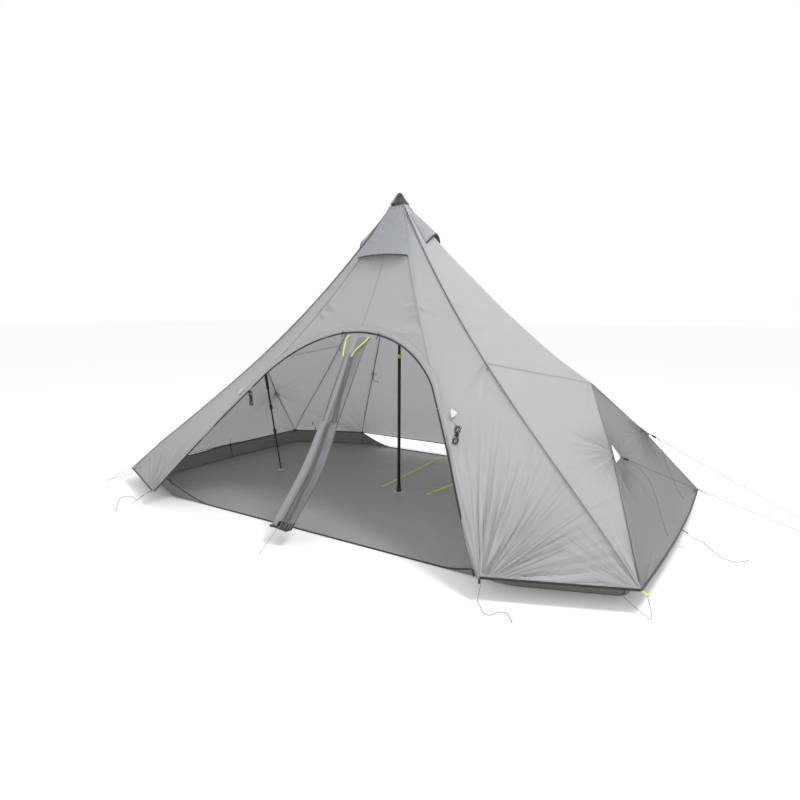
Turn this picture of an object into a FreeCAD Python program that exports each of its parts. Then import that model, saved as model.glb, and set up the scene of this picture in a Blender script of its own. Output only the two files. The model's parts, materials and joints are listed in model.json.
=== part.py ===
import FreeCAD, Part
import Sketcher
import math
import os
from FreeCAD import Placement, Rotation, Vector

# Teepee tent with two propped ends. Millimetres, +Z up. The origin is on the ground under the main
# pole, +X runs to the right-hand end and -Y is the front, where the door is.

OUT = "parts"
doc = FreeCAD.newDocument("teepee_tent")

# ---------------------------------------------------------------- driving dimensions
SIZES = [
    ("apex_height", 2300), ("hem_height", 110),
    ("door_half_width", 1330), ("door_depth", 1300),
    ("end_corner_reach", 2040), ("end_corner_depth", 995), ("end_middle_reach", 2070),
    ("peak_reach", 1480), ("peak_height", 975),
    ("guy_reach", 1735), ("guy_depth", 410), ("guy_height", 625),
    ("front_ridge_sag", 1100), ("side_ridge_sag", 950), ("peak_ridge_sag", 340),
    ("arch_top", 1278), ("arch_neck_half", 700), ("arch_neck_height", 975),
    ("arch_knee_half", 814), ("arch_knee_height", 820),
    ("leg_half", 967), ("leg_height", 606), ("foot_half", 1330), ("foot_height", 60),
    ("tape_width", 14),
    ("lower_pole_radius", 12.5), ("upper_pole_radius", 11), ("pole_bore_radius", 11.1),
    ("lower_pole_low", 22), ("lower_pole_high", 1100), ("upper_pole_low", 560),
    ("upper_pole_high", 2270), ("collar_radius", 16), ("collar_low", 1070), ("collar_height", 28),
    ("foot_radius", 22), ("foot_rim", 12), ("foot_neck_low", 24), ("foot_top", 60),
    ("foot_wall", 3.5), ("foot_clearance", 0.2),
    ("cap_low", 2216), ("cap_base_radius", 69), ("cap_tip_radius", 11), ("cap_wall", 3),
    ("prop_base_reach", 1250), ("prop_base_offset", 40), ("prop_top_height", 962),
    ("shaft_radius", 8), ("middle_radius", 7), ("lower_radius", 6), ("prop_wall", 0.9),
    ("shaft_low", 552), ("shaft_high", 940), ("middle_low", 330), ("middle_high", 780),
    ("lower_low", 46), ("lower_high", 515), ("grip_radius", 14), ("grip_low", 735),
    ("lock_radius", 12.5), ("lock_height", 38), ("basket_radius", 26), ("basket_height", 6),
    ("floor_thickness", 3), ("wall_height", 120),
    ("gather_top_half", 104), ("gather_waist_half", 76), ("gather_foot_half", 90),
    ("guyline_dia", 3), ("peg_cord_dia", 2.5),
    ("tensioner_radius", 7), ("tensioner_length", 32), ("tensioner_bore", 2.1),
]
sheet = doc.addObject("Spreadsheet::Sheet", "sizes")
for row, (alias, value) in enumerate(SIZES, start=1):
    cell = "B%d" % row
    sheet.set("A%d" % row, alias)
    sheet.set(cell, str(value))
    sheet.setAlias(cell, alias)
doc.recompute()


def size(alias):
    """The value of a driving dimension."""
    return float(sheet.get(alias))


kept = []                        # objects whose shapes are written, one node each


def keep(obj, label):
    obj.Label = label
    kept.append(obj)
    return obj


def bind(obj, **expressions):
    """Bind an object's properties to cells of the sheet."""
    for prop, text in expressions.items():
        obj.setExpression(prop, text)
    return obj


ALIASES = {alias for alias, value in SIZES}


def cell_text(text):
    """Write the aliases in an expression as references to the sheet."""
    return " ".join("sizes." + word if word in ALIASES else word for word in text.split(" "))


def cylinder(name, radius, low, height):
    """A Part::Cylinder on +Z of its own frame, every size an expression of the sheet."""
    obj = doc.addObject("Part::Cylinder", name)
    bind(obj, Radius=cell_text(radius), Height=cell_text(height))
    obj.setExpression(".Placement.Base.z", cell_text(low))
    return obj


def cut(name, base, tool, place=None):
    obj = doc.addObject("Part::Cut", name)
    obj.Base, obj.Tool = base, tool
    if place is not None:
        obj.Placement = place
    return obj


def tube(name, radius, bore, low, high, place=None):
    outer = cylinder(name + "_outer", radius, low, high + " - " + low)
    inner = cylinder(name + "_bore", bore, low + " - 1", high + " - " + low + " + 2")
    return cut(name, outer, inner, place)


def group(name, objects):
    """Separate solids that share one node."""
    obj = doc.addObject("Part::Compound", name)
    obj.Links = objects
    return keep(obj, name)


def shape_node(name, shape):
    obj = doc.addObject("Part::Feature", name)
    obj.Shape = shape
    return keep(obj, name)


# ---------------------------------------------------------------- the fly's ridges and corners
APEX = size("apex_height")
HEM = size("hem_height")
LEVELS = [0.022, 0.25, 0.469, 0.75, 1.0]      # fractions of the way from apex to corner
PEAK_LEVELS = [0.36, 0.70, 1.0]               # the same for the crown line to an end's peak
BRANCH = 2                                    # level where the shoulder seam leaves the ridge
HEART = Vector(0, 0, 700)                     # every fly face can be seen from here


def front_ridge(x_sign, y_sign):
    """Ridge from the apex to a corner of a door side, sagging most near its top."""
    half, depth, sag = size("door_half_width"), size("door_depth"), size("front_ridge_sag")
    return [Vector(x_sign * half * s, y_sign * depth * s,
                   APEX - (APEX - HEM) * s - sag * s * (1 - s) ** 2) for s in LEVELS]


def side_ridge(x_sign, y_sign):
    """Ridge from the apex to a corner of an end wall."""
    reach, depth, sag = size("end_corner_reach"), size("end_corner_depth"), size("side_ridge_sag")
    return [Vector(x_sign * reach * s, y_sign * depth * s,
                   APEX - (APEX - HEM) * s - sag * s * (1 - s) ** 1.6) for s in LEVELS]


def peak_ridge(x_sign):
    """Crown line from the apex to an end's propped peak."""
    reach, top, sag = size("peak_reach"), size("peak_height"), size("peak_ridge_sag")
    line = [Vector(x_sign * reach * s, 0, APEX - (APEX - top) * s - sag * s * (1 - s))
            for s in PEAK_LEVELS]
    start = side_ridge(x_sign, 1)[0]
    return [Vector(start.x, 0, start.z)] + line


def end_middle(x_sign):
    return Vector(x_sign * size("end_middle_reach"), 0, HEM)


def guy_point(x_sign, y_sign):
    return Vector(x_sign * size("guy_reach"), y_sign * size("guy_depth"), size("guy_height"))


def lerp(a, b, t):
    return a + (b - a) * t


# ---------------------------------------------------------------- sewn cloth as thin closed solids
CLOTH_INNER = 0.9975             # the inner face is the outer one drawn in towards HEART


def scaled(point, factor, centre=HEART):
    return centre + (point - centre) * factor


def skin(polygons, outer=1.0, inner=CLOTH_INNER, centre=HEART):
    """Closed solid between a patch of flat polygons and the same patch scaled about a centre.

    Neighbouring panels share their edge points, so their side faces meet exactly.
    """
    faces, edges = [], {}
    for polygon in polygons:
        for factor in (outer, inner):
            ring = [scaled(p, factor, centre) for p in polygon]
            faces.append(Part.Face(Part.makePolygon(ring + ring[:1])))
        for a, b in zip(polygon, polygon[1:] + polygon[:1]):
            key = frozenset((tuple(round(c, 4) for c in a), tuple(round(c, 4) for c in b)))
            edges.setdefault(key, []).append((a, b))
    for uses in edges.values():
        if len(uses) == 1:
            a, b = uses[0]
            ring = [scaled(a, outer, centre), scaled(b, outer, centre),
                    scaled(b, inner, centre), scaled(a, inner, centre)]
            faces.append(Part.Face(Part.makePolygon(ring + ring[:1])))
    shell = Part.makeShell(faces)
    shell.sewShape()
    solid = Part.Solid(shell)
    if solid.Volume < 0:
        solid.reverse()
    return solid


def strip(left, right):
    """Triangles between two ridges, level by level."""
    triangles = []
    for i in range(len(left) - 1):
        triangles.append([left[i], right[i], right[i + 1]])
        triangles.append([left[i], right[i + 1], left[i + 1]])
    return triangles


def flat_strip(left, right):
    """Four-sided flat faces between two ridges that sag alike."""
    return [[left[i], right[i], right[i + 1], left[i + 1]] for i in range(len(left) - 1)]


# ---------------------------------------------------------------- front panel and its door arch
# The arch has two legs that follow the corner ridges, and a round top.
def mirrored(p):
    return Vector(-p.x, p.y, p.z)


def doorway_solid(grow):
    """Solid through the front whose outline is the door arch, grown outwards."""
    half = [Vector(size("foot_half") + grow, 0, size("foot_height") - grow),
            Vector(size("leg_half") + grow, 0, size("leg_height")),
            Vector(size("arch_knee_half") + grow * 0.9, 0, size("arch_knee_height") + grow * 0.4),
            Vector(size("arch_neck_half") + grow * 0.7, 0, size("arch_neck_height") + grow * 0.7)]
    crown = Part.Arc(half[-1], Vector(0, 0, size("arch_top") + grow), mirrored(half[-1]))
    edges = [Part.LineSegment(a, b) for a, b in zip(half, half[1:])] + [crown]
    back_down = [mirrored(p) for p in reversed(half)]
    edges += [Part.LineSegment(a, b) for a, b in zip(back_down, back_down[1:])]
    edges.append(Part.LineSegment(back_down[-1], half[0]))
    face = Part.Face(Part.Wire([edge.toShape() for edge in edges]))
    face.translate(Vector(0, -1700, 0))
    return face.extrude(Vector(0, 1600, 0))


front_solid = doc.addObject("Part::Feature", "front_cloth")
front_solid.Shape = skin(flat_strip(front_ridge(-1, -1), front_ridge(1, -1)))
doorway = doc.addObject("Part::Feature", "doorway")
doorway.Shape = doorway_solid(0)
keep(cut("fly_front_panel", front_solid, doorway), "fly_front_panel")

TAPE_OUTER, TAPE_INNER = 1.0022, 1.0002
tape_layer = skin(flat_strip(front_ridge(-1, -1), front_ridge(1, -1)), TAPE_OUTER, TAPE_INNER)
tape_ring = doorway_solid(size("tape_width")).cut(doorway_solid(0))
door_tape = tape_layer.common(tape_ring)

shape_node("fly_back_panel", skin(flat_strip(front_ridge(1, 1), front_ridge(-1, 1))))

SIDES = [(x, y) for x in (-1, 1) for y in (-1, 1)]
shape_node("fly_side_panels", Part.makeCompound(
    [skin(strip(front_ridge(x, y), side_ridge(x, y))) for x, y in SIDES]))


def top_panel(x_sign):
    peak = peak_ridge(x_sign)
    triangles = []
    for y_sign in (-1, 1):
        ridge = side_ridge(x_sign, y_sign)
        triangles += strip(ridge[:BRANCH + 1], peak[:BRANCH + 1])
        triangles.append([ridge[BRANCH], peak[BRANCH], peak[-1]])
    return skin(triangles)


def shoulder_panel(x_sign, y_sign):
    ridge, peak, guy = side_ridge(x_sign, y_sign), peak_ridge(x_sign)[-1], guy_point(x_sign, y_sign)
    return skin([[ridge[2], peak, guy], [ridge[2], guy, ridge[3]], [ridge[3], guy, ridge[4]]])


def end_wall(x_sign):
    peak, middle = peak_ridge(x_sign)[-1], end_middle(x_sign)
    front, back = guy_point(x_sign, -1), guy_point(x_sign, 1)
    return skin([[peak, front, back], [front, side_ridge(x_sign, -1)[-1], middle],
                 [front, middle, back], [back, middle, side_ridge(x_sign, 1)[-1]]])


shape_node("fly_top_panels", Part.makeCompound([top_panel(x) for x in (-1, 1)]))
shape_node("fly_shoulder_panels", Part.makeCompound([shoulder_panel(x, y) for x, y in SIDES]))
shape_node("fly_end_walls", Part.makeCompound([end_wall(x) for x in (-1, 1)]))

# Black binding on the fly's free edges: along the door arch, and one length per run of the hem.
BINDING_SHARE = 0.010            # its height as a share of the panel's slope


def hem_quad(a, b, a_up, b_up):
    return skin([[a, b, lerp(b, b_up, BINDING_SHARE), lerp(a, a_up, BINDING_SHARE)]],
                TAPE_OUTER, TAPE_INNER)


binding = [hem_quad(front_ridge(-1, 1)[-1], front_ridge(1, 1)[-1],
                    Vector(0, 0, APEX), Vector(0, 0, APEX))]
for x, y in SIDES:
    binding.append(hem_quad(front_ridge(x, y)[-1], side_ridge(x, y)[-1],
                            Vector(0, 0, APEX), Vector(0, 0, APEX)))
    binding.append(hem_quad(side_ridge(x, y)[-1], end_middle(x), guy_point(x, y), guy_point(x, y)))
shape_node("edge_binding", Part.makeCompound(binding + door_tape.Solids))

# ---------------------------------------------------------------- apex cap
cap_outer = doc.addObject("Part::Cone", "cap_outer")
bind(cap_outer, Radius1="sizes.cap_base_radius", Radius2="sizes.cap_tip_radius",
     Height="sizes.apex_height - sizes.cap_low")
cap_outer.setExpression(".Placement.Base.z", "sizes.cap_low")
cap_inner = doc.addObject("Part::Cone", "cap_inner")
bind(cap_inner, Radius1="sizes.cap_base_radius - sizes.cap_wall",
     Radius2="sizes.cap_tip_radius - sizes.cap_wall",
     Height="sizes.apex_height - sizes.cap_low - sizes.cap_wall")
cap_inner.setExpression(".Placement.Base.z", "sizes.cap_low")
keep(cut("apex_cap", cap_outer, cap_inner), "apex_cap")

# ---------------------------------------------------------------- vent hoods at the top
HOOD_STANDOFF = 45               # how far the hood's lower edge is held off the fly


def vent_hood(y_sign):
    """Stiff-edged flap over the vent, hinged along its short top edge."""
    high, low = Vector(52, y_sign * 58, 2200), Vector(222, y_sign * (214 + HOOD_STANDOFF), 1815)
    return skin([[mirrored(high), high, low, mirrored(low)]])


shape_node("vent_hood_front", vent_hood(-1))
shape_node("vent_hood_back", vent_hood(1))

# ---------------------------------------------------------------- gathered door
def lofted(sections):
    wires = []
    for centre, half_x, half_y in sections:
        big, small = max(half_x, half_y), min(half_x, half_y)
        major = Vector(1, 0, 0) if half_x >= half_y else Vector(0, 1, 0)
        minor = Vector(0, 1, 0) if half_x >= half_y else Vector(1, 0, 0)
        curve = Part.Ellipse(centre + major * big, centre + minor * small, centre)
        wires.append(Part.Wire(curve.toShape()))
    return Part.makeLoft(wires, True)


top_half, waist_half = size("gather_top_half"), size("gather_waist_half")
foot_half = size("gather_foot_half")
shape_node("gathered_door", lofted([
    (Vector(26, -545, 1252), top_half, 12), (Vector(34, -606, 1160), waist_half, 22),
    (Vector(50, -912, 705), waist_half, 30), (Vector(52, -1092, 425), foot_half, 32),
    (Vector(-18, -1278, 120), foot_half, 26)]))


def box_between(a, b, width, thick, up=Vector(0, 0, 1)):
    """Flat bar from a to b: width lies across the bar, thick is its third side."""
    run = b - a
    bar = Part.makeBox(run.Length, width, thick, Vector(0, -width / 2, -thick / 2))
    across = up.cross(run).normalize()
    bar.Placement = Placement(a, Rotation(run, across, run.cross(across), "XYZ"))
    return bar


# Straps that tie the gathered door up at the top of the arch, and their toggles lower down.
TIES = [(Vector(-66, -582, 1250), Vector(-30, -663, 1128)), (Vector(122, -590, 1236), Vector(52, -665, 1124))]
TOGGLES = [(Vector(-50, -956, 712), Vector(-46, -966, 690)), (Vector(-14, -972, 684), Vector(-10, -982, 662))]
TIE_WIDTH, TIE_THICK, TOGGLE_SIDE = 14, 1.6, 7
ties = [box_between(top, low, TIE_WIDTH, TIE_THICK) for top, low in TIES]
ties += [box_between(top, low, TOGGLE_SIDE, TOGGLE_SIDE) for top, low in TOGGLES]
shape_node("door_ties", Part.makeCompound(ties))

# ---------------------------------------------------------------- door zip sliders
FRONT_NORMAL = Vector(0, -0.8556, 0.5176)     # out of the front panel beside the arch's crown
ZIP_CENTRE = Vector(0, -939, 583)              # where the crown of the zip is curved about
ZIP_RADIUS = 821
SLIDER_LIFT = 8                                # the slider's middle above the panel


def slider(angle):
    """Slider body and its pull tab on the crown of the zip, at an angle from the middle."""
    turn = Rotation(FRONT_NORMAL, angle)
    up_slope = Vector(0, 0.5176, 0.8556)
    middle = ZIP_CENTRE + turn.multVec(up_slope) * ZIP_RADIUS + FRONT_NORMAL * SLIDER_LIFT
    along = turn.multVec(Vector(1, 0, 0))
    down = turn.multVec(up_slope) * -1
    body = box_between(middle - along * 9, middle + along * 9, 10, 4.5, FRONT_NORMAL)
    pull = box_between(middle + down * 5.5, middle + down * 38, 6, 1.4, FRONT_NORMAL)
    return Part.makeCompound([body, pull])


shape_node("zip_slider_left", slider(9.5))
shape_node("zip_slider_right", slider(-12.5))

# ---------------------------------------------------------------- main pole
lower_pole = tube("main_pole_lower", "lower_pole_radius", "pole_bore_radius",
                  "lower_pole_low", "lower_pole_high")
keep(lower_pole, "main_pole_lower")
upper_pole = cylinder("main_pole_upper", "upper_pole_radius", "upper_pole_low",
                      "upper_pole_high - upper_pole_low")
keep(upper_pole, "main_pole_upper")
pole_collar = tube("pole_collar", "collar_radius", "lower_pole_radius",
                   "collar_low", "collar_low + collar_height")
keep(pole_collar, "pole_collar")

foot = doc.addObject("PartDesign::Body", "pole_foot")
foot_sketch = foot.newObject("Sketcher::SketchObject", "foot_profile")
xz_plane = [f for f in foot.Origin.OriginFeatures if f.Role == "XZ_Plane"][0]
foot_sketch.AttachmentSupport = [(xz_plane, "")]
foot_sketch.MapMode = "FlatFace"
SOLE, NECK = "floor_thickness + foot_clearance", "lower_pole_radius + foot_wall"
# Each corner's distances from the pole's axis and from the ground, as expressions of the sheet.
FOOT_OUTLINE = [("", SOLE), ("foot_radius", SOLE), ("foot_radius", "foot_rim"),
                (NECK, "foot_neck_low"), (NECK, "foot_top"), ("lower_pole_radius", "foot_top"),
                ("lower_pole_radius", "lower_pole_low"), ("", "lower_pole_low")]


def cell_sum(text):
    """The value of a sum of aliases, for a sketch's first guess."""
    return sum(size(word) for word in text.split(" + ") if word)


guesses = [Vector(cell_sum(across), cell_sum(up), 0) for across, up in FOOT_OUTLINE]
for start, end in zip(guesses, guesses[1:] + guesses[:1]):
    foot_sketch.addGeometry(Part.LineSegment(start, end))
ORIGIN_POINT, START_POINT, END_POINT = (-1, 1), 1, 2
for i, (across, up) in enumerate(FOOT_OUTLINE):
    previous = (i - 1) % len(FOOT_OUTLINE)
    foot_sketch.addConstraint(Sketcher.Constraint("Coincident", previous, END_POINT, i, START_POINT))
    if across:
        named = foot_sketch.addConstraint(
            Sketcher.Constraint("DistanceX", *ORIGIN_POINT, i, START_POINT, cell_sum(across)))
        foot_sketch.setExpression("Constraints[%d]" % named, cell_text(across))
    else:
        foot_sketch.addConstraint(Sketcher.Constraint("PointOnObject", i, START_POINT, -2))
    named = foot_sketch.addConstraint(
        Sketcher.Constraint("DistanceY", *ORIGIN_POINT, i, START_POINT, cell_sum(up)))
    foot_sketch.setExpression("Constraints[%d]" % named, cell_text(up))
foot_turn = foot.newObject("PartDesign::Revolution", "foot_turned")
foot_turn.Profile = foot_sketch
foot_turn.ReferenceAxis = (foot_sketch, ["V_Axis"])
foot_turn.Angle = 360
keep(foot, "pole_foot")

# ---------------------------------------------------------------- support poles under the end peaks
PROP_BASE_Z = size("floor_thickness") + 1.2


def prop_place(x_sign):
    """Frame of a support pole: its +Z runs up the pole from the tip."""
    base = Vector(x_sign * size("prop_base_reach"), -size("prop_base_offset"), PROP_BASE_Z)
    top = Vector(x_sign * (size("peak_reach") - 8), 0, size("prop_top_height"))
    across = Vector(0, -x_sign, 0)
    rise = top - base
    return Placement(base, Rotation(across.cross(rise).cross(across), across, rise, "ZYX"))


def both_sides(name, build):
    group(name, [build("left", prop_place(-1)), build("right", prop_place(1))])


def shaft(side, place):
    return tube("shaft_" + side, "shaft_radius", "shaft_radius - prop_wall",
                "shaft_low", "shaft_high", place)


def grip(side, place):
    outer = cylinder("grip_outer_" + side, "grip_radius", "grip_low", "shaft_high - grip_low + 22")
    bore = cylinder("grip_bore_" + side, "shaft_radius", "grip_low - 1", "shaft_high - grip_low + 1")
    return cut("grip_" + side, outer, bore, place)


def upper_lock(side, place):
    return tube("upper_lock_" + side, "lock_radius", "shaft_radius",
                "shaft_low + 2", "shaft_low + 2 + lock_height", place)


both_sides("support_pole_shafts", shaft)
both_sides("support_pole_grips", grip)
both_sides("upper_lock_collars", upper_lock)

LEVER_GAP = 0.6                  # between a lever and the collar it lies along
LEVER_THICK, LEVER_WIDTH, LEVER_LENGTH = 5.0, 9.0, 30.0


def lever(name, low, place):
    """Cam lever on the +X side of the pole's frame, pivoting at its upper end."""
    base_z, radius = size(low) + 4, size("lock_radius") + LEVER_GAP
    arm = Part.makeBox(LEVER_THICK, LEVER_WIDTH, LEVER_LENGTH - LEVER_THICK / 2,
                       Vector(radius, -LEVER_WIDTH / 2, base_z))
    cam = Part.makeCylinder(LEVER_THICK / 2, LEVER_WIDTH,
                            Vector(radius + LEVER_THICK / 2, -LEVER_WIDTH / 2,
                                   base_z + LEVER_LENGTH - LEVER_THICK / 2), Vector(0, 1, 0))
    obj = shape_node(name, arm.fuse(cam).removeSplitter())
    obj.Placement = place
    return obj


for side, x_sign in (("left", -1), ("right", 1)):
    place = prop_place(x_sign)
    keep(tube("middle_tube_" + side, "middle_radius", "middle_radius - prop_wall",
              "middle_low", "middle_high", place), "support_pole_middle_" + side)
    keep(tube("lower_lock_" + side, "lock_radius", "middle_radius",
              "middle_low + 2", "middle_low + 2 + lock_height", place), "lower_lock_collar_" + side)
    rod = cylinder("lower_rod_" + side, "lower_radius", "lower_low", "lower_high - lower_low")
    point = doc.addObject("Part::Cone", "lower_point_" + side)
    bind(point, Radius1="sizes.lower_radius * 0.5", Radius2="sizes.lower_radius",
         Height="sizes.lower_low")
    lower = doc.addObject("Part::Fuse", "lower_" + side)
    lower.Base, lower.Tool, lower.Placement = point, rod, place
    keep(lower, "support_pole_lower_" + side)
    keep(tube("basket_ring_" + side, "basket_radius", "lower_radius",
              "lower_low + 4", "lower_low + 4 + basket_height", place), "pole_basket_" + side)
    lever("upper_lock_lever_" + side, "shaft_low", place)
    lever("lower_lock_lever_" + side, "middle_low", place)

# ---------------------------------------------------------------- tub floor
FLOOR_HEART = Vector(0, 0, 0)
FLOOR_POINTS = [Vector(1400, -1070, 0), Vector(1940, -860, 0), Vector(1985, 40, 0),
                Vector(1960, 930, 0), Vector(1290, 1245, 0)]     # right half, front to back
WALL_LEAN = 1.014                # how much wider the wall's top edge is than its foot
FLOOR_INNER = 0.9985


outline = FLOOR_POINTS + [mirrored(p) for p in reversed(FLOOR_POINTS)]
floor_wire = Part.makePolygon([p * FLOOR_INNER for p in outline + outline[:1]])
shape_node("floor_sheet", Part.Face(floor_wire).extrude(Vector(0, 0, size("floor_thickness"))))


def wall_top(p):
    return Vector(p.x * WALL_LEAN, p.y * WALL_LEAN, size("wall_height"))


# Each side's wall stands round its end and runs out to nothing beside the front and rear doors.
DIP_FRONT, DIP_BACK = 980, 900


def side_wall(x_sign):
    points = [Vector(x_sign * p.x, p.y, 0) for p in FLOOR_POINTS]
    quads = [[a, b, wall_top(b), wall_top(a)] for a, b in zip(points, points[1:])]
    front_dip = Vector(x_sign * DIP_FRONT, points[0].y, 0)
    back_dip = Vector(x_sign * DIP_BACK, points[-1].y, 0)
    pieces = [skin([quad], 1.0, FLOOR_INNER, FLOOR_HEART) for quad in quads]
    pieces.append(skin([[front_dip, points[0], wall_top(points[0])]], 1.0, FLOOR_INNER, FLOOR_HEART))
    pieces.append(skin([[points[-1], back_dip, wall_top(points[-1])]], 1.0, FLOOR_INNER, FLOOR_HEART))
    return pieces


shape_node("floor_walls", Part.makeCompound(side_wall(-1) + side_wall(1)))


def piping(x_sign):
    """Round cord sewn along the wall's top edge, one straight length per side."""
    points = [wall_top(Vector(x_sign * p.x, p.y, 0)) for p in FLOOR_POINTS]
    up = Vector(0, 0, 3.6)
    return [Part.makeCylinder(3, (b - a).Length - 12, lerp(a, b, 6 / (b - a).Length) + up, b - a)
            for a, b in zip(points, points[1:])]


shape_node("wall_piping", Part.makeCompound(piping(-1) + piping(1)))

# Hooks that hold the tub's corners up to the fly.
HOOK_SIZE = (10, 10, 26)


def wall_hook(p):
    top = wall_top(p)
    inward = Vector(-p.x, -p.y, 0).normalize() * 14
    centre = top + inward
    return Part.makeBox(*HOOK_SIZE, Vector(centre.x - 5, centre.y - 5, size("wall_height") - 6))


shape_node("wall_hooks", Part.makeCompound(
    [wall_hook(Vector(x * p.x, p.y, 0)) for p in FLOOR_POINTS for x in (-1, 1)]))

# Straps sewn to the floor that mark and fix the pole's place.
STRAP_TOP = size("floor_thickness") + 0.1
straps = [((-180, 30), (-255, 1180)), ((235, 45), (285, 560))]
shape_node("floor_straps", Part.makeCompound(
    [box_between(Vector(a[0], a[1], STRAP_TOP + 0.8), Vector(b[0], b[1], STRAP_TOP + 0.8), 22, 1.4)
     for a, b in straps]))

# ---------------------------------------------------------------- guy patches, corner tabs
PEGS = {(-1, -1): Vector(-3105, 6, 6), (-1, 1): Vector(-3105, 22, 6),
        (1, -1): Vector(3095, 318, 6), (1, 1): Vector(3095, 334, 6)}


LINE_START = 50                  # where a guyline starts, along its own direction
LINE_SAG = 9                     # how far a taut guyline's middle hangs below its chord


def guy_line(x_sign, y_sign):
    """The route of a guyline from its patch to its peg."""
    start, end = guy_point(x_sign, y_sign), PEGS[(x_sign, y_sign)]
    first = start + (end - start).normalize() * LINE_START
    return [first, lerp(first, end, 0.5) - Vector(0, 0, LINE_SAG), end]


def line_way(x_sign, y_sign):
    """Unit direction of a guyline's first run."""
    first, middle, _ = guy_line(x_sign, y_sign)
    return (middle - first).normalize()


def plate(points, thick):
    face = Part.Face(Part.makePolygon(points + points[:1]))
    normal = (points[1] - points[0]).cross(points[2] - points[0]).normalize()
    return face.extrude(normal * thick)


PATCH_LIFT, PATCH_REACH = 9, 48  # of a guy patch, out from the fly along its line


def guy_patch(x_sign, y_sign):
    start, way = guy_point(x_sign, y_sign), line_way(x_sign, y_sign)
    up = lerp(start, peak_ridge(x_sign)[-1], 0.13) + way * PATCH_LIFT
    down = lerp(start, side_ridge(x_sign, y_sign)[-1], 0.08) + way * PATCH_LIFT
    return plate([up, down, start + way * PATCH_REACH], 2)


def door_patch(x_sign):
    """Small reinforcement beside the door edge that a stored guyline hangs from."""
    a, b, c = (Vector(x_sign * 872, -776, 858), Vector(x_sign * 918, -772, 832),
               Vector(x_sign * 902, -816, 806))
    normal = Vector(x_sign * 0.35, -0.8, 0.49) * 10
    return plate([a + normal, b + normal, c + normal], 2)


shape_node("guy_patches", Part.makeCompound(
    [guy_patch(x, y) for x, y in SIDES] + [door_patch(x) for x in (-1, 1)]))


TAB_GAP = 9                      # between a corner of the fly and its tab's near end
TAB_LENGTH, TAB_WIDTH, TAB_THICK = 24, 14, 2.4
TAB_DROP = 0.35                  # how steeply a tab points down


def corner_tab(corner, outward):
    way = Vector(outward.x, outward.y, -TAB_DROP).normalize()
    start = corner + way * TAB_GAP
    return box_between(start, start + way * TAB_LENGTH, TAB_WIDTH, TAB_THICK)


tabs = []
for x, y in SIDES:
    tabs.append(corner_tab(front_ridge(x, y)[-1], Vector(x * 0.5, y, 0).normalize()))
    tabs.append(corner_tab(side_ridge(x, y)[-1], Vector(x, y * 0.4, 0).normalize()))
for x in (-1, 1):
    tabs.append(corner_tab(end_middle(x), Vector(x, 0, 0)))
shape_node("corner_tabs", Part.makeCompound(tabs))

# ---------------------------------------------------------------- guyline tensioners
NAMES = {(-1, -1): "left_front", (-1, 1): "left_rear", (1, -1): "right_front", (1, 1): "right_rear"}
TENSIONER_START = 12             # from the line's first point, along its first run

for (x, y), side in NAMES.items():
    first, way = guy_line(x, y)[0], line_way(x, y)
    body = Part.makeCylinder(size("tensioner_radius"), size("tensioner_length"),
                             first + way * TENSIONER_START, way)
    bore = Part.makeCylinder(size("tensioner_bore"), size("tensioner_length") + 2,
                             first + way * (TENSIONER_START - 1), way)
    shape_node("tensioner_" + side, body.cut(bore))

# ---------------------------------------------------------------- cords
MIN_DIAMETERS = 3                # a limp cord's tightest bend, in diameters


def cord_path(points, name):
    """Straight runs joined by tangent arcs, each arc as large as its two runs allow."""
    edges, at, radii = [], points[0], []
    for before, corner, after in zip(points, points[1:], points[2:]):
        run_in, run_out = corner - before, after - corner
        turn = run_in.getAngle(run_out)
        reach = 0.45 * min(run_in.Length, run_out.Length)
        radii.append(reach / math.tan(turn / 2))
        start = corner - run_in.normalize() * reach
        end = corner + run_out.normalize() * reach
        bisector = (start + end) / 2 - corner
        centre = corner + bisector * (math.hypot(reach, radii[-1]) / bisector.Length)
        middle = centre + (corner - centre).normalize() * radii[-1]
        edges.append(Part.LineSegment(at, start).toShape())
        edges.append(Part.Arc(start, middle, end).toShape())
        at = end
    edges.append(Part.LineSegment(at, points[-1]).toShape())
    if radii:
        print("%-26s radii %s" % (name, " ".join("%.0f" % r for r in radii)))
    return Part.Wire(edges)


def cord(name, points, dia):
    """A round cord swept along its route."""
    route = [Vector(*p) for p in points]
    path = cord_path(route, name)
    start = route[1] - route[0]
    ring = Part.Wire(Part.Circle(route[0], start, dia / 2).toShape())
    solid = path.makePipeShell([ring], True, False)
    expected = math.pi * dia * dia / 4 * path.Length
    if abs(solid.Volume / expected - 1) > 0.02:
        raise ValueError("%s volume %.1f, expected %.1f" % (name, solid.Volume, expected))
    print("%-26s length %.0f mm" % (name, path.Length))
    shape_node(name, solid)


for (x, y), side in NAMES.items():
    cord("guyline_" + side, guy_line(x, y), size("guyline_dia"))

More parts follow.
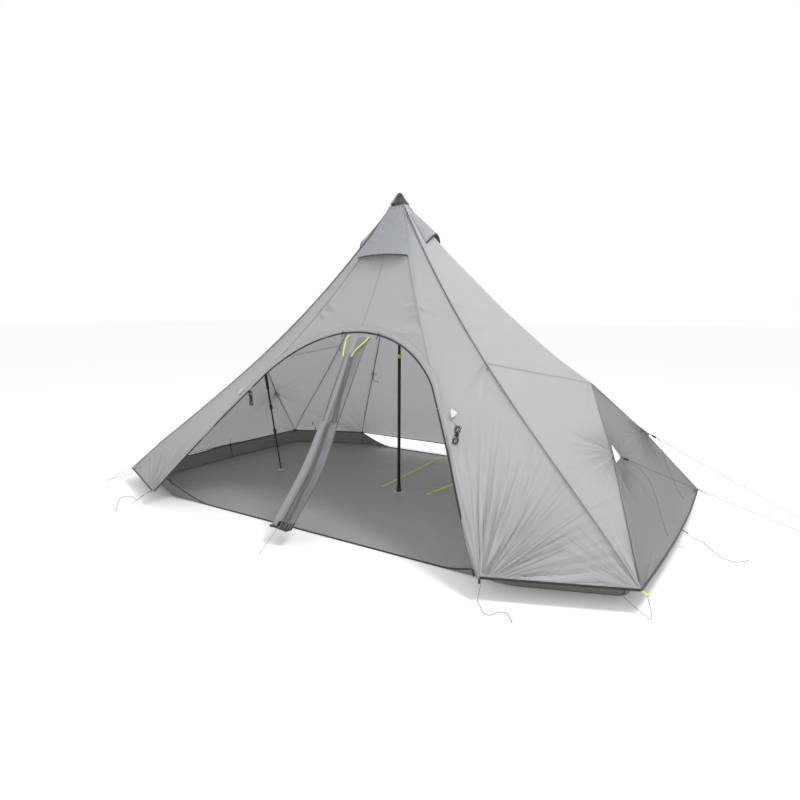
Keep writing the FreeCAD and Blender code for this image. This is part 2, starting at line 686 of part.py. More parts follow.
FINE = size("peg_cord_dia")
ROUTES = {
    "guyline_tail_right_front": [
        (1826, -371, 580), (1842, -345, 562), (1856, -306, 540), (1868, -262, 512), (1880, -222, 482),
        (1895, -194, 450), (1912, -184, 414), (1932, -192, 374), (1952, -214, 334), (1974, -246, 294),
        (1996, -282, 254), (2018, -312, 214), (2040, -332, 176)],
    "guyline_tail_right_rear": [
        (1829, 413, 580), (1848, 405, 560), (1862, 384, 532), (1876, 364, 500), (1892, 344, 466),
        (1910, 328, 430), (1930, 314, 393), (1952, 304, 354), (1974, 290, 318), (1996, 281, 279),
        (2018, 284, 242), (2034, 306, 220)],
    "peg_cord_front_left": [
        (-1352, -1330, 96), (-1412, -1358, 48), (-1471, -1386, 5)],
    "peg_tail_front_left": [
        (-1372, -1344, 84), (-1412, -1340, 58), (-1462, -1326, 32), (-1516, -1304, 13), (-1570, -1282, 4),
        (-1620, -1266, 2), (-1662, -1262, 2), (-1690, -1278, 2), (-1696, -1308, 2), (-1676, -1340, 2),
        (-1640, -1374, 2), (-1598, -1404, 2), (-1552, -1444, 2), (-1508, -1470, 2), (-1470, -1500, 2),
        (-1440, -1524, 2)],
    "peg_cord_side_left": [
        (-2068, -1012, 98), (-2150, -1058, 46), (-2208, -1091, 9), (-2221, -1097, 5), (-2228, -1107, 4),
        (-2222, -1117, 5), (-2209, -1117, 7), (-2192, -1112, 14), (-2060, -1086, 58), (-1924, -1060, 98)],
    "peg_cord_front_right": [
        (1352, -1330, 96), (1344, -1330, 52), (1336, -1328, 14), (1338, -1330, 3), (1348, -1340, 2),
        (1364, -1358, 2), (1384, -1386, 2), (1404, -1412, 2), (1428, -1424, 2), (1450, -1414, 2),
        (1458, -1388, 2), (1468, -1362, 2), (1490, -1352, 2), (1514, -1362, 2), (1534, -1388, 2),
        (1556, -1418, 2)],
    "peg_cord_right_corner": [
        (1950, -1046, 96), (2014, -1049, 54), (2074, -1049, 17), (2086, -1050, 8), (2095, -1052, 7),
        (2100, -1051, 14), (2098, -1046, 26), (2088, -1032, 56), (2070, -1014, 96)],
    "peg_cord_right_middle": [
        (2100, 8, 98), (2106, 70, 62), (2110, 130, 30), (2116, 176, 9), (2128, 196, 2), (2148, 194, 2),
        (2170, 172, 2), (2192, 136, 2), (2216, 92, 2), (2242, 44, 2), (2270, -4, 2), (2302, -44, 2),
        (2340, -68, 2), (2378, -66, 2), (2408, -42, 2), (2430, -6, 2)],
    "peg_cord_right_rear": [
        (2068, 1012, 98), (2106, 1072, 48), (2140, 1126, 5)],
    "door_peg_cord": [
        (-48, -1316, 84), (-22, -1420, 42), (2, -1516, 5)],
}
for name, points in ROUTES.items():
    cord(name, points, FINE)


# Stored guylines: each hangs beside the door edge as a small figure-of-eight hank.
def hank(centre, half_width, half_height, depth):
    body = lofted([(centre + Vector(0, 0, half_height), half_width * 0.4, depth * 0.5),
                   (centre + Vector(0, 0, half_height * 0.4), half_width, depth),
                   (centre - Vector(0, 0, half_height * 0.5), half_width * 0.9, depth),
                   (centre - Vector(0, 0, half_height), half_width * 0.35, depth * 0.5)])
    return body


shape_node("stored_guyline_right", hank(Vector(997, -932, 738), 30, 58, 13))
shape_node("stored_guyline_left", hank(Vector(-800, -790, 784), 30, 58, 13))

# ---------------------------------------------------------------- checks and export
doc.recompute()
bad = [obj.Name for obj in doc.Objects if "Invalid" in obj.State or "Error" in obj.State]
if bad:
    raise ValueError("failed objects: %s" % bad)
labels = [obj.Label for obj in kept]
if len(set(labels)) != len(labels) or len(labels) > 60:
    raise ValueError("%d nodes, or a name used twice" % len(labels))
for obj in kept:
    if obj.Shape.isNull() or not obj.Shape.isValid() or obj.Shape.Volume <= 0:
        raise ValueError("bad shape: " + obj.Label)

os.makedirs(OUT, exist_ok=True)
for obj in kept:
    obj.Shape.exportStep(os.path.join(OUT, obj.Label + ".step"))
print("%d nodes written" % len(kept))
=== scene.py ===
import json
import math

import bmesh
import bpy
import numpy as np
from mathutils import Matrix, Vector


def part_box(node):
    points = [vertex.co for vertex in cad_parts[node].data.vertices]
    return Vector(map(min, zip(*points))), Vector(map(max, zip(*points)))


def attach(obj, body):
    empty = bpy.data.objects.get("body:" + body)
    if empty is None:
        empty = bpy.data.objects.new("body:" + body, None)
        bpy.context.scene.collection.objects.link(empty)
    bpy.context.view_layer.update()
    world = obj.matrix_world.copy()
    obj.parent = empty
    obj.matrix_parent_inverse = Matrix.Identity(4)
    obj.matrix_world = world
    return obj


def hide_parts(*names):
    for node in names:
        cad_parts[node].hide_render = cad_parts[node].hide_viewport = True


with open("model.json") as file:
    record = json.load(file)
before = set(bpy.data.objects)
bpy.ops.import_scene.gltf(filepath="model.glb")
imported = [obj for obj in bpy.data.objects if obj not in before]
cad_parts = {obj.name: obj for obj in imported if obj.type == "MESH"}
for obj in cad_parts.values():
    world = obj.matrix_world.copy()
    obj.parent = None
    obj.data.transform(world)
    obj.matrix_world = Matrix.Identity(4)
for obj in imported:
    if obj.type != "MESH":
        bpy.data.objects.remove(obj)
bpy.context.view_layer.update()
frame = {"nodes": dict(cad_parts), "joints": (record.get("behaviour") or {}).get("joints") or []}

# A teepee tent with two propped ends. Metres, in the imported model's frame: the main pole stands on
# the origin, +X is the right-hand end, the door faces -Y.

SHELTER = "shelter"


# ---------------------------------------------------------------- camera
CAMERA_AZIMUTH, CAMERA_DISTANCE, CAMERA_HEIGHT = math.radians(33.13), 4.6587, 1.4351
CAMERA_TURN, CAMERA_PITCH, CAMERA_ROLL = math.radians(33.05), math.radians(8.47), math.radians(0.21)
CAMERA_LENS = 27.09

camera_data = bpy.data.cameras.new("camera")
camera = bpy.data.objects.new("camera", camera_data)
bpy.context.scene.collection.objects.link(camera)
bpy.context.scene.camera = camera
camera_data.lens = CAMERA_LENS
ahead = Vector((-math.sin(CAMERA_TURN) * math.cos(CAMERA_PITCH),
                math.cos(CAMERA_TURN) * math.cos(CAMERA_PITCH), -math.sin(CAMERA_PITCH)))
level = Vector((math.cos(CAMERA_TURN), math.sin(CAMERA_TURN), 0))
above = level.cross(ahead)
right = level * math.cos(CAMERA_ROLL) + above * math.sin(CAMERA_ROLL)
upward = above * math.cos(CAMERA_ROLL) - level * math.sin(CAMERA_ROLL)
camera.matrix_world = Matrix((
    (right.x, upward.x, -ahead.x, math.sin(CAMERA_AZIMUTH) * CAMERA_DISTANCE),
    (right.y, upward.y, -ahead.y, -math.cos(CAMERA_AZIMUTH) * CAMERA_DISTANCE),
    (right.z, upward.z, -ahead.z, CAMERA_HEIGHT), (0, 0, 0, 1)))


# ---------------------------------------------------------------- materials
# Where creases run out of, in the tent's positive quarter; the other quarters mirror it.
TENT_TIP = (0.0, 0.0, 2.3)
FAN_PITCH, FAN_WANDER = 0.085, 1.6         # radians from fold to fold, and how fast folds shift outwards
FAN_SHARPNESS, FAN_CREST, FAN_START = 7.0, 1.5, 8.0
DOOR_CORNER, END_CORNER = (1.352, 1.330, 0.096), (2.068, 1.012, 0.098)
GUY_CORNER = (1.752, 0.378, 0.618)
HEM_WAY = (0.914, -0.406, 0.0)
DOWN_WAY = (0.42, 0.80, -0.70)
# Each fan: its corner, the way it starts, its reach, and its creases' height.
FLY_FANS = ((DOOR_CORNER, HEM_WAY, 1.15, 0.010), (END_CORNER, (-0.914, 0.406, 0.0), 0.60, 0.007),
            (GUY_CORNER, DOWN_WAY, 0.40, 0.006))
WALL_FANS = ((GUY_CORNER, DOWN_WAY, 0.55, 0.010), (END_CORNER, (0.0, -1.0, 0.2), 0.60, 0.010))


class Paint:
    """Short-hand for a material's node tree round one Principled shader."""

    def __init__(self, name, colour, rough, space="UV"):
        self.material = bpy.data.materials.new(name)
        self.material.use_nodes = True
        self.tree = self.material.node_tree
        self.shader = self.tree.nodes["Principled BSDF"]
        self.shader.inputs["Roughness"].default_value = rough
        self.shader.inputs["Base Color"].default_value = (*colour, 1)
        self.colour = colour
        self.place = self.tree.nodes.new("ShaderNodeTexCoord").outputs[space]

    def node(self, kind, settings=(), **inputs):
        made = self.tree.nodes.new("ShaderNode" + kind)
        for key, value in dict(settings).items():
            setattr(made, key, value)
        for key, value in inputs.items():
            socket = made.inputs[int(key[1:]) if key[0] == "i" and key[1:].isdigit() else key]
            if isinstance(value, bpy.types.NodeSocket):
                self.tree.links.new(value, socket)
            else:
                socket.default_value = value
        return made

    def noise(self, scale, detail=3.0, stretch=(1, 1, 1), rough=0.5):
        mapped = self.node("Mapping", Vector=self.place, Scale=stretch)
        return self.node("TexNoise", Vector=mapped.outputs[0], Scale=scale, Detail=detail,
                         Roughness=rough).outputs["Fac"]

    def math(self, operation, a, b=0.0):
        return self.node("Math", {"operation": operation}, i0=a, i1=b).outputs[0]

    def stripes(self, pitch, axis):
        """A sine along one axis, with that pitch in metres."""
        turns = self.node("SeparateXYZ", Vector=self.place).outputs[axis]
        return self.math("SINE", self.math("MULTIPLY", turns, math.tau / pitch))

    def tint(self, factor, dark, light):
        """Base colour that runs from dark to light times the material's own."""
        low, high = [tuple(min(1.0, c * k) for c in self.colour) + (1,) for k in (dark, light)]
        mix = self.node("Mix", {"data_type": "RGBA"}, Factor=factor)
        mix.inputs["A"].default_value, mix.inputs["B"].default_value = low, high
        self.tree.links.new(mix.outputs["Result"], self.shader.inputs["Base Color"])
        return self

    def bump(self, height, depth, strength=1.0):
        made = self.node("Bump", Height=height, Distance=depth, Strength=strength)
        old = self.shader.inputs["Normal"]
        if old.links:
            self.tree.links.new(old.links[0].from_socket, made.inputs["Normal"])
        self.tree.links.new(made.outputs[0], old)
        return self

    def roughen(self, factor, low, high):
        made = self.node("MapRange", Value=factor)
        made.inputs["To Min"].default_value, made.inputs["To Max"].default_value = low, high
        self.tree.links.new(made.outputs[0], self.shader.inputs["Roughness"])
        return self

    def sheen(self, weight, rough=0.4):
        self.shader.inputs["Sheen Weight"].default_value = weight
        self.shader.inputs["Sheen Roughness"].default_value = rough
        return self

    def vector(self, operation, a, b=(0, 0, 0), output="Vector"):
        return self.node("VectorMath", {"operation": operation}, i0=a, i1=b).outputs[output]

    def creases(self, corner, along, reach, height):
        """Sharp creases that run out of a corner, and of its mirror images, and fade with reach."""
        place = self.node("TexCoord").outputs["Object"]
        offset = self.vector("SUBTRACT", self.vector("ABSOLUTE", place), corner)
        along = Vector(along).normalized()
        facing = along.cross(Vector(TENT_TIP) - Vector(corner)).normalized()
        forward = self.vector("DOT_PRODUCT", offset, along, "Value")
        sideways = self.vector("DOT_PRODUCT", offset, facing.cross(along), "Value")
        away = self.vector("LENGTH", offset, output="Value")
        turn = self.math("DIVIDE", self.math("ARCTAN2", sideways, forward), FAN_PITCH)
        spot = self.node("CombineXYZ", X=turn, Y=self.math("MULTIPLY", away, FAN_WANDER))
        folds = self.node("TexNoise", Vector=spot.outputs[0], Scale=1.0, Detail=1.0).outputs["Fac"]
        off_crest = self.math("MULTIPLY", self.math("SUBTRACT", folds, 0.5), FAN_SHARPNESS)
        crest = self.math("SUBTRACT", 1.0, self.math("ABSOLUTE", off_crest))
        ridge = self.math("POWER", self.math("MAXIMUM", crest, 0.0), FAN_CREST)
        fade = self.math("MAXIMUM", self.math("SUBTRACT", 1.0, self.math("DIVIDE", away, reach)), 0.0)
        start = self.math("MINIMUM", self.math("MULTIPLY", away, FAN_START), 1.0)
        lift = self.math("MULTIPLY", ridge, self.math("MULTIPLY", fade, start))
        return self.bump(lift, height, 1.0)

    def let_through(self, share):
        """Mix in light that comes through from behind, as in thin cloth."""
        glow = self.node("BsdfTranslucent")
        glow.inputs["Color"].default_value = (*[c ** 0.25 for c in self.colour], 1)
        mix = self.node("MixShader", Fac=share)
        self.tree.links.new(self.shader.outputs[0], mix.inputs[1])
        self.tree.links.new(glow.outputs[0], mix.inputs[2])
        self.tree.links.new(mix.outputs[0], self.tree.nodes["Material Output"].inputs[0])
        return self


GRID_PITCH, GRID_LINE, WEAVE_PITCH = 0.008, 0.0006, 0.0016


def ripstop(name, colour, through, rough=0.5, mottle=0.05, crinkle=1.0, fans=()):
    """Thin coated cloth with a fine square grid woven in, soft colour drift and small crinkles."""
    paint = Paint(name, colour, rough)
    grid = paint.node("TexBrick", {"offset": 0.0}, Vector=paint.place, Scale=1.0)
    grid.inputs["Color1"].default_value = grid.inputs["Color2"].default_value = (1, 1, 1, 1)
    grid.inputs["Mortar"].default_value = (0, 0, 0, 1)
    for key, value in (("Mortar Size", GRID_LINE), ("Brick Width", GRID_PITCH),
                       ("Row Height", GRID_PITCH), ("Mortar Smooth", 0.4)):
        grid.inputs[key].default_value = value
    drift = paint.noise(2.2, 4.0)
    fine = paint.noise(95.0, 2.0)
    shade = paint.math("ADD", paint.math("MULTIPLY", drift, 0.75), paint.math("MULTIPLY", fine, 0.25))
    shade = paint.math("ADD", shade, paint.math("MULTIPLY", grid.outputs["Color"], 0.16))
    paint.tint(shade, 1 - mottle, 1 + mottle)
    paint.roughen(fine, rough - 0.06, rough + 0.08)
    weave = paint.math("MULTIPLY", paint.stripes(WEAVE_PITCH, 0), paint.stripes(WEAVE_PITCH, 1))
    paint.bump(weave, 0.00006, 0.5)
    paint.bump(grid.outputs["Color"], 0.00025, 0.6)
    paint.bump(paint.noise(12.0, 4.0), 0.0050 * crinkle, 0.7)
    paint.bump(paint.noise(2.6, 3.0), 0.022 * crinkle, 0.6)
    for fan_row in fans:
        paint.creases(*fan_row)
    paint.sheen(0.12)
    if through:
        paint.let_through(through)
    return paint.material


def webbing(name, colour, pitch=0.003, rough=0.75):
    """Flat woven tape with cross ribs and a stitched look."""
    paint = Paint(name, colour, rough)
    ribs = paint.stripes(pitch, 0)
    across = paint.stripes(pitch * 0.7, 1)
    body = paint.math("MULTIPLY", ribs, across)
    paint.tint(paint.math("ADD", paint.math("MULTIPLY", body, 0.3), paint.noise(120.0)), 0.7, 1.25)
    paint.bump(body, 0.0004, 0.8)
    paint.sheen(0.25, 0.5)
    return paint.material


def seam(name, colour, through=0.0):
    """Sewn fold of the fly's own cloth with two rows of stitches."""
    paint = Paint(name, colour, 0.55)
    dash = paint.math("GREATER_THAN", paint.stripes(0.006, 0), -0.3)
    rows = paint.math("GREATER_THAN", paint.stripes(0.0055, 1), 0.82)
    stitch = paint.math("MULTIPLY", dash, rows)
    shade = paint.math("SUBTRACT", paint.noise(9.0), paint.math("MULTIPLY", stitch, 0.5))
    paint.tint(shade, 0.80, 1.06)
    paint.bump(stitch, 0.0004, 0.7)
    paint.bump(paint.noise(60.0, 2.0, (1, 4, 1)), 0.0012, 0.6)
    paint.sheen(0.12)
    if through:
        paint.let_through(through)
    return paint.material


def moulded(name, colour, rough=0.45):
    """Moulded plastic or rubber with a fine spark-eroded grain."""
    paint = Paint(name, colour, rough, "Object")
    grain = paint.noise(900.0, 2.0)
    paint.tint(paint.noise(22.0, 4.0), 0.85, 1.2)
    paint.roughen(paint.noise(35.0, 5.0), rough - 0.08, rough + 0.14)
    paint.bump(grain, 0.00012, 0.5)
    return paint.material


def anodised(name, colour):
    """Black anodised tube: drawn lines along its length and rubbed spots."""
    paint = Paint(name, colour, 0.36, "Object")
    lines = paint.noise(60.0, 3.0, (14, 14, 0.3))
    rubbed = paint.noise(7.0, 6.0, (2, 2, 1), 0.7)
    paint.tint(paint.math("MULTIPLY", lines, rubbed), 0.7, 1.9)
    paint.roughen(lines, 0.26, 0.46)
    paint.bump(lines, 0.00005, 0.4)
    paint.shader.inputs["Metallic"].default_value = 0.7
    return paint.material


def braid(name, colour, fleck=1.5):
    """Braided cord: crossed strands and a light fleck."""
    paint = Paint(name, colour, 0.7, "Object")
    strands = paint.noise(420.0, 1.0, (1, 1, 1.6))
    paint.tint(paint.math("ADD", paint.math("MULTIPLY", strands, 0.8), paint.noise(60.0)), 0.6, fleck)
    paint.bump(strands, 0.0006, 0.8)
    paint.sheen(0.2)
    return paint.material


FLY = (0.55, 0.55, 0.572)
MATERIALS = {
    "fly": ripstop("fly_cloth", FLY, 0.53, fans=FLY_FANS),
    "fly_dark": ripstop("fly_cloth_dark", (0.36, 0.362, 0.371), 0.64, fans=WALL_FANS),
    "hood": ripstop("hood_cloth", (0.30, 0.315, 0.335), 0.10),
    "seam": seam("fly_seam", (0.52, 0.52, 0.54), 0.5),
    "door": ripstop("door_cloth", (0.36, 0.365, 0.385), 0.25, 0.5, 0.06, 1.4),
    "floor": ripstop("floor_cloth", (0.30, 0.30, 0.295), 0.0, 0.42, 0.08, 1.4),
    "wall": ripstop("wall_cloth", (0.22, 0.215, 0.20), 0.12, 0.5, 0.10, 2.0),
    "black_tape": webbing("black_webbing", (0.018, 0.018, 0.020)),
    "green_tape": webbing("green_webbing", (0.68, 0.90, 0.02), 0.003, 0.6),
    "white_tape": webbing("white_patch", (0.80, 0.80, 0.80), 0.002),
    "grey_tape": webbing("grey_zip_tape", (0.10, 0.10, 0.105), 0.002),
    "black_plastic": moulded("black_plastic", (0.02, 0.02, 0.022)),
    "green_plastic": moulded("green_plastic", (0.42, 0.66, 0.03)),
    "black_rubber": moulded("black_rubber", (0.022, 0.022, 0.022), 0.7),
    "black_foam": moulded("black_foam", (0.026, 0.026, 0.027), 0.85),
    "dark_metal": anodised("dark_metal", (0.05, 0.05, 0.055)),
    "tube": anodised("black_tube", (0.022, 0.022, 0.025)),
    "guyline": braid("guyline_cord", (0.05, 0.05, 0.055), 2.2),
    "peg_cord": braid("peg_cord", (0.045, 0.045, 0.047), 2.0),
    "stored": braid("stored_cord", (0.012, 0.012, 0.012), 2.5),
}


# ---------------------------------------------------------------- cords
def finish_piece(obj, body, material, nodes=()):
    obj.data.materials.append(MATERIALS[material])
    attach(obj, body)
    if nodes:
        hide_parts(*nodes)
    return obj


def curve(name, points, diameter, body, material, nodes=()):
    """A smooth round cord along control points."""
    data = bpy.data.curves.new(name, "CURVE")
    data.dimensions = "3D"
    data.bevel_depth = diameter / 2
    data.bevel_resolution = 4
    data.use_fill_caps = True
    spline = data.splines.new("NURBS")
    spline.points.add(len(points) - 1)
    for knot, point in zip(spline.points, points):
        knot.co = (*point, 1)
    spline.order_u = 3
    spline.use_endpoint_u = True
    spline.resolution_u = 10
    obj = bpy.data.objects.new(name, data)
    bpy.context.scene.collection.objects.link(obj)
    return finish_piece(obj, body, material, nodes)


GUY_REACH, GUY_DEPTH, GUY_HEIGHT = 1.735, 0.410, 0.625
GUYLINE_DIAMETER, PEG_CORD_DIAMETER = 0.003, 0.0025
LINE_START = 0.050                         # where a guyline starts, along its own direction
STRAIGHT_RUN = (0.0, 0.09, 0.18, 0.27, 0.36)
PEGS = {"left_front": (-3.105, 0.006, 0.006), "left_rear": (-3.105, 0.022, 0.006),
        "right_front": (3.095, 0.318, 0.006), "right_rear": (3.095, 0.334, 0.006)}
SIGNS = {"left_front": (-1, -1), "left_rear": (-1, 1), "right_front": (1, -1), "right_rear": (1, 1)}


def guy_point(side):
    x_sign, y_sign = SIGNS[side]
    return Vector((x_sign * GUY_REACH, y_sign * GUY_DEPTH, GUY_HEIGHT))


SLIDE_WAYS = {joint["child"].removeprefix("slider_"): Vector(joint["axis"]).normalized()
              for joint in frame["joints"] if joint["child"].startswith("slider_")}


def guyline_route(side):
    """Straight along the tensioner's travel, then on to the peg."""
    start, end = guy_point(side), Vector(PEGS[side])
    first = start + (end - start).normalized() * LINE_START
    run = [first + SLIDE_WAYS[side] * reach for reach in STRAIGHT_RUN]
    return run + [run[-1].lerp(end, share) for share in (0.3, 0.65, 1.0)]


for side in SIGNS:
    route = guyline_route(side)
    line = curve("guyline_" + side + "_cord", route, GUYLINE_DIAMETER, SHELTER,
                 "guyline", ["guyline_" + side])

# Each loose cord: its length, its far end, how it lies, and the points it passes.
LOOSE = {
    "guyline_tail_right_front": (0.584, "knot", "hanging", [
        (1.826, -0.371, 0.580), (1.842, -0.345, 0.562), (1.856, -0.306, 0.540), (1.868, -0.262, 0.512),
        (1.880, -0.222, 0.482), (1.895, -0.194, 0.450), (1.912, -0.184, 0.414), (1.932, -0.192, 0.374),
        (1.952, -0.214, 0.334), (1.974, -0.246, 0.294), (1.996, -0.282, 0.254), (2.018, -0.312, 0.214),
        (2.040, -0.332, 0.176)]),
    "guyline_tail_right_rear": (0.446, "knot", "hanging", [
        (1.829, 0.413, 0.580), (1.848, 0.405, 0.560), (1.862, 0.384, 0.532), (1.876, 0.364, 0.500),
        (1.892, 0.344, 0.466), (1.910, 0.328, 0.430), (1.930, 0.314, 0.393), (1.952, 0.304, 0.354),
        (1.974, 0.290, 0.318), (1.996, 0.281, 0.279), (2.018, 0.284, 0.242), (2.034, 0.306, 0.220)]),
    "peg_cord_front_left": (0.164, "bare", "taut", [
        (-1.352, -1.330, 0.096), (-1.412, -1.358, 0.048), (-1.471, -1.386, 0.005)]),
    "peg_tail_front_left": (0.717, "knot", "loose", [
        (-1.372, -1.344, 0.084), (-1.412, -1.340, 0.058), (-1.462, -1.326, 0.032),
        (-1.516, -1.304, 0.013), (-1.570, -1.282, 0.004), (-1.620, -1.266, 0.002),
        (-1.662, -1.262, 0.002), (-1.690, -1.278, 0.002), (-1.696, -1.308, 0.002),
        (-1.676, -1.340, 0.002), (-1.640, -1.374, 0.002), (-1.598, -1.404, 0.002),
        (-1.552, -1.444, 0.002), (-1.508, -1.470, 0.002), (-1.470, -1.500, 0.002),
        (-1.440, -1.524, 0.002)]),
    "peg_cord_side_left": (0.538, "object", "taut", [
        (-2.068, -1.012, 0.098), (-2.150, -1.058, 0.046), (-2.208, -1.091, 0.009),
        (-2.221, -1.097, 0.005), (-2.228, -1.107, 0.004), (-2.222, -1.117, 0.005),
        (-2.209, -1.117, 0.007), (-2.192, -1.112, 0.014), (-2.060, -1.086, 0.058),
        (-1.924, -1.060, 0.098)]),
    "peg_cord_front_right": (0.419, "knot", "loose", [
        (1.352, -1.330, 0.096), (1.344, -1.330, 0.052), (1.336, -1.328, 0.014),
        (1.338, -1.330, 0.003), (1.348, -1.340, 0.002), (1.364, -1.358, 0.002),
        (1.384, -1.386, 0.002), (1.404, -1.412, 0.002), (1.428, -1.424, 0.002),
        (1.450, -1.414, 0.002), (1.458, -1.388, 0.002), (1.468, -1.362, 0.002),
        (1.490, -1.352, 0.002), (1.514, -1.362, 0.002), (1.534, -1.388, 0.002),
        (1.556, -1.418, 0.002)]),
    "peg_cord_right_corner": (0.274, "object", "taut", [
        (1.950, -1.046, 0.096), (2.014, -1.049, 0.054), (2.074, -1.049, 0.017),
        (2.086, -1.050, 0.008), (2.095, -1.052, 0.007), (2.100, -1.051, 0.014),
        (2.098, -1.046, 0.026), (2.088, -1.032, 0.056), (2.070, -1.014, 0.096)]),
    "peg_cord_right_middle": (0.678, "knot", "loose", [
        (2.100, 0.008, 0.098), (2.106, 0.070, 0.062), (2.110, 0.130, 0.030), (2.116, 0.176, 0.009),
        (2.128, 0.196, 0.002), (2.148, 0.194, 0.002), (2.170, 0.172, 0.002), (2.192, 0.136, 0.002),
        (2.216, 0.092, 0.002), (2.242, 0.044, 0.002), (2.270, -0.004, 0.002), (2.302, -0.044, 0.002),
        (2.340, -0.068, 0.002), (2.378, -0.066, 0.002), (2.408, -0.042, 0.002),
        (2.430, -0.006, 0.002)]),
    "peg_cord_right_rear": (0.164, "bare", "taut", [
        (2.068, 1.012, 0.098), (2.106, 1.072, 0.048), (2.140, 1.126, 0.005)]),
    "door_peg_cord": (0.221, "bare", "taut", [
        (-0.048, -1.316, 0.084), (-0.022, -1.420, 0.042), (0.002, -1.516, 0.005)]),
}
LOOSE_BODIES = {
    "guyline_tail_right_front": "slider_right_front",
    "guyline_tail_right_rear": "slider_right_rear",
    "door_peg_cord": "door",
}
for name, (length, far_end, lay, route) in LOOSE.items():
    slot, material = ("guyline_cord", "guyline") if name.startswith("guyline") else ("peg_cord", "peg_cord")
    line = curve(name + "_line", route, PEG_CORD_DIAMETER, LOOSE_BODIES.get(name, SHELTER),
                 material, [name])


HANK_TURNS, HANK_STEPS, HANK_FILL, HANK_SPREAD = 7, 14, 0.92, 0.75
STORED_DIAMETER, HANK_LENGTH = 0.003, 1.77


def hank_route(node, lean):
    """Figure-of-eight turns that fill the hank's solid."""
    low, high = (np.array(corner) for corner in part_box(node))
    middle, half = (low + high) / 2, (high - low) / 2
    points = []
    for i in range(HANK_TURNS * HANK_STEPS):
        turn = i / HANK_STEPS
        angle = turn * math.tau
        reach = HANK_FILL - 0.10 * math.sin(turn * 2.4)
        swing = math.sin(2 * angle) * (0.46 + 0.10 * math.sin(turn * 1.9)) + 0.22 * math.sin(turn * 2.7)
        across = swing * half[0]
        up = math.cos(angle + 0.25 * math.sin(turn)) * reach * half[2]
        out = half[1] * HANK_SPREAD * (2 * i / (HANK_TURNS * HANK_STEPS) - 1)
        points.append(middle + np.array((across + lean * up, -abs(out) * 0.4 + out * 0.6, up)))
    return points


for side, lean in (("left", -0.12), ("right", 0.18)):
    node = "stored_guyline_" + side
    route = hank_route(node, lean)
    line = curve(node + "_cord", route, STORED_DIAMETER, SHELTER, "stored", [node])


# ---------------------------------------------------------------- mesh helpers
HEART = np.array((0.0, 0.0, 0.7))          # every outer face of the fly looks away from here


class Shape:
    """Gathers vertices, faces and texture places for one piece."""

    def __init__(self):
        self.points, self.faces, self.places = [], [], []

    def add(self, points, faces, places):
        first = len(self.points)
        self.points += [tuple(p) for p in points]
        self.places += [tuple(p) for p in places]
        self.faces += [tuple(first + i for i in face) for face in faces]
        return self

    def grid(self, points, flip=False, wrap=False):
        """A sheet of quads from points[row, column], its texture places measured in metres."""
        rows, columns = points.shape[:2]
        index = np.arange(rows * columns).reshape(rows, columns)
        if wrap:
            index = np.concatenate([index, index[:, :1]], axis=1)
        a, b, c, d = index[:-1, :-1], index[:-1, 1:], index[1:, 1:], index[1:, :-1]
        order = (a, d, c, b) if flip else (a, b, c, d)
        faces = np.stack(order, axis=-1).reshape(-1, 4)
        along = np.cumsum(steps(points.mean(axis=1)))
        across = np.cumsum(step_table(points), axis=1)
        across -= across[:, [columns // 2]]
        places = np.stack([across, np.repeat(along[:, None], columns, axis=1)], axis=-1)
        return self.add(points.reshape(-1, 3), faces, places.reshape(-1, 2))

    def build(self, name, body, slot, material, nodes=(), weld=0.0, sharp=35, thick=0.0):
        """The finished piece; thick makes closed cloth of a sheet, inwards from it."""
        mesh = bpy.data.meshes.new(name)
        mesh.from_pydata(self.points, [], self.faces)
        layer = mesh.uv_layers.new(name="metres")
        spots = np.array(self.places, float)
        loops = np.empty(len(mesh.loops), int)
        mesh.loops.foreach_get("vertex_index", loops)
        layer.data.foreach_set("uv", spots[loops].astype(np.float32).ravel())
        work = bmesh.new()
        work.from_mesh(mesh)
        if weld:
            bmesh.ops.remove_doubles(work, verts=work.verts, dist=weld)
        bmesh.ops.dissolve_degenerate(work, edges=work.edges, dist=1e-6)
        work.to_mesh(mesh)
        work.free()
        mesh.shade_smooth()
        mesh.set_sharp_from_angle(angle=math.radians(sharp))
        obj = bpy.data.objects.new(name, mesh)
        bpy.context.scene.collection.objects.link(obj)
        if thick:
            cloth = obj.modifiers.new("cloth", "SOLIDIFY")
            cloth.thickness, cloth.offset = thick, -1
        return finish_piece(obj, body, material, nodes)


def steps(points):
    """Distance of each point from the one before it."""
    return np.concatenate([[0], np.linalg.norm(np.diff(points, axis=0), axis=1)])


def step_table(points):
    """The same along every row of a grid."""
    gaps = np.linalg.norm(np.diff(points, axis=1), axis=2)
    return np.concatenate([np.zeros((len(points), 1)), gaps], axis=1)


def unit(v):
    v = np.asarray(v, float)
    return v / np.maximum(np.linalg.norm(v, axis=-1, keepdims=True), 1e-12)


def smooth_path(corners, count):
    """Evenly spaced points on a Catmull-Rom curve through the corners."""
    knots = np.array(corners, float)
    ends = np.concatenate([[2 * knots[0] - knots[1]], knots, [2 * knots[-1] - knots[-2]]])
    t = np.linspace(0, 1, 24, endpoint=False)[:, None]
    spans = []
    for a, b, c, d in zip(ends, ends[1:], ends[2:], ends[3:]):
        spans.append(0.5 * (2 * b + (c - a) * t + (2 * a - 5 * b + 4 * c - d) * t ** 2
                            + (3 * b - a - 3 * c + d) * t ** 3))
    fine = np.concatenate(spans + [knots[-1:]])
    return resample(fine, count)


def resample(points, count):
    along = np.cumsum(steps(points))
    at = np.linspace(0, along[-1], count)
    return np.stack([np.interp(at, along, points[:, k]) for k in range(points.shape[1])], axis=1)


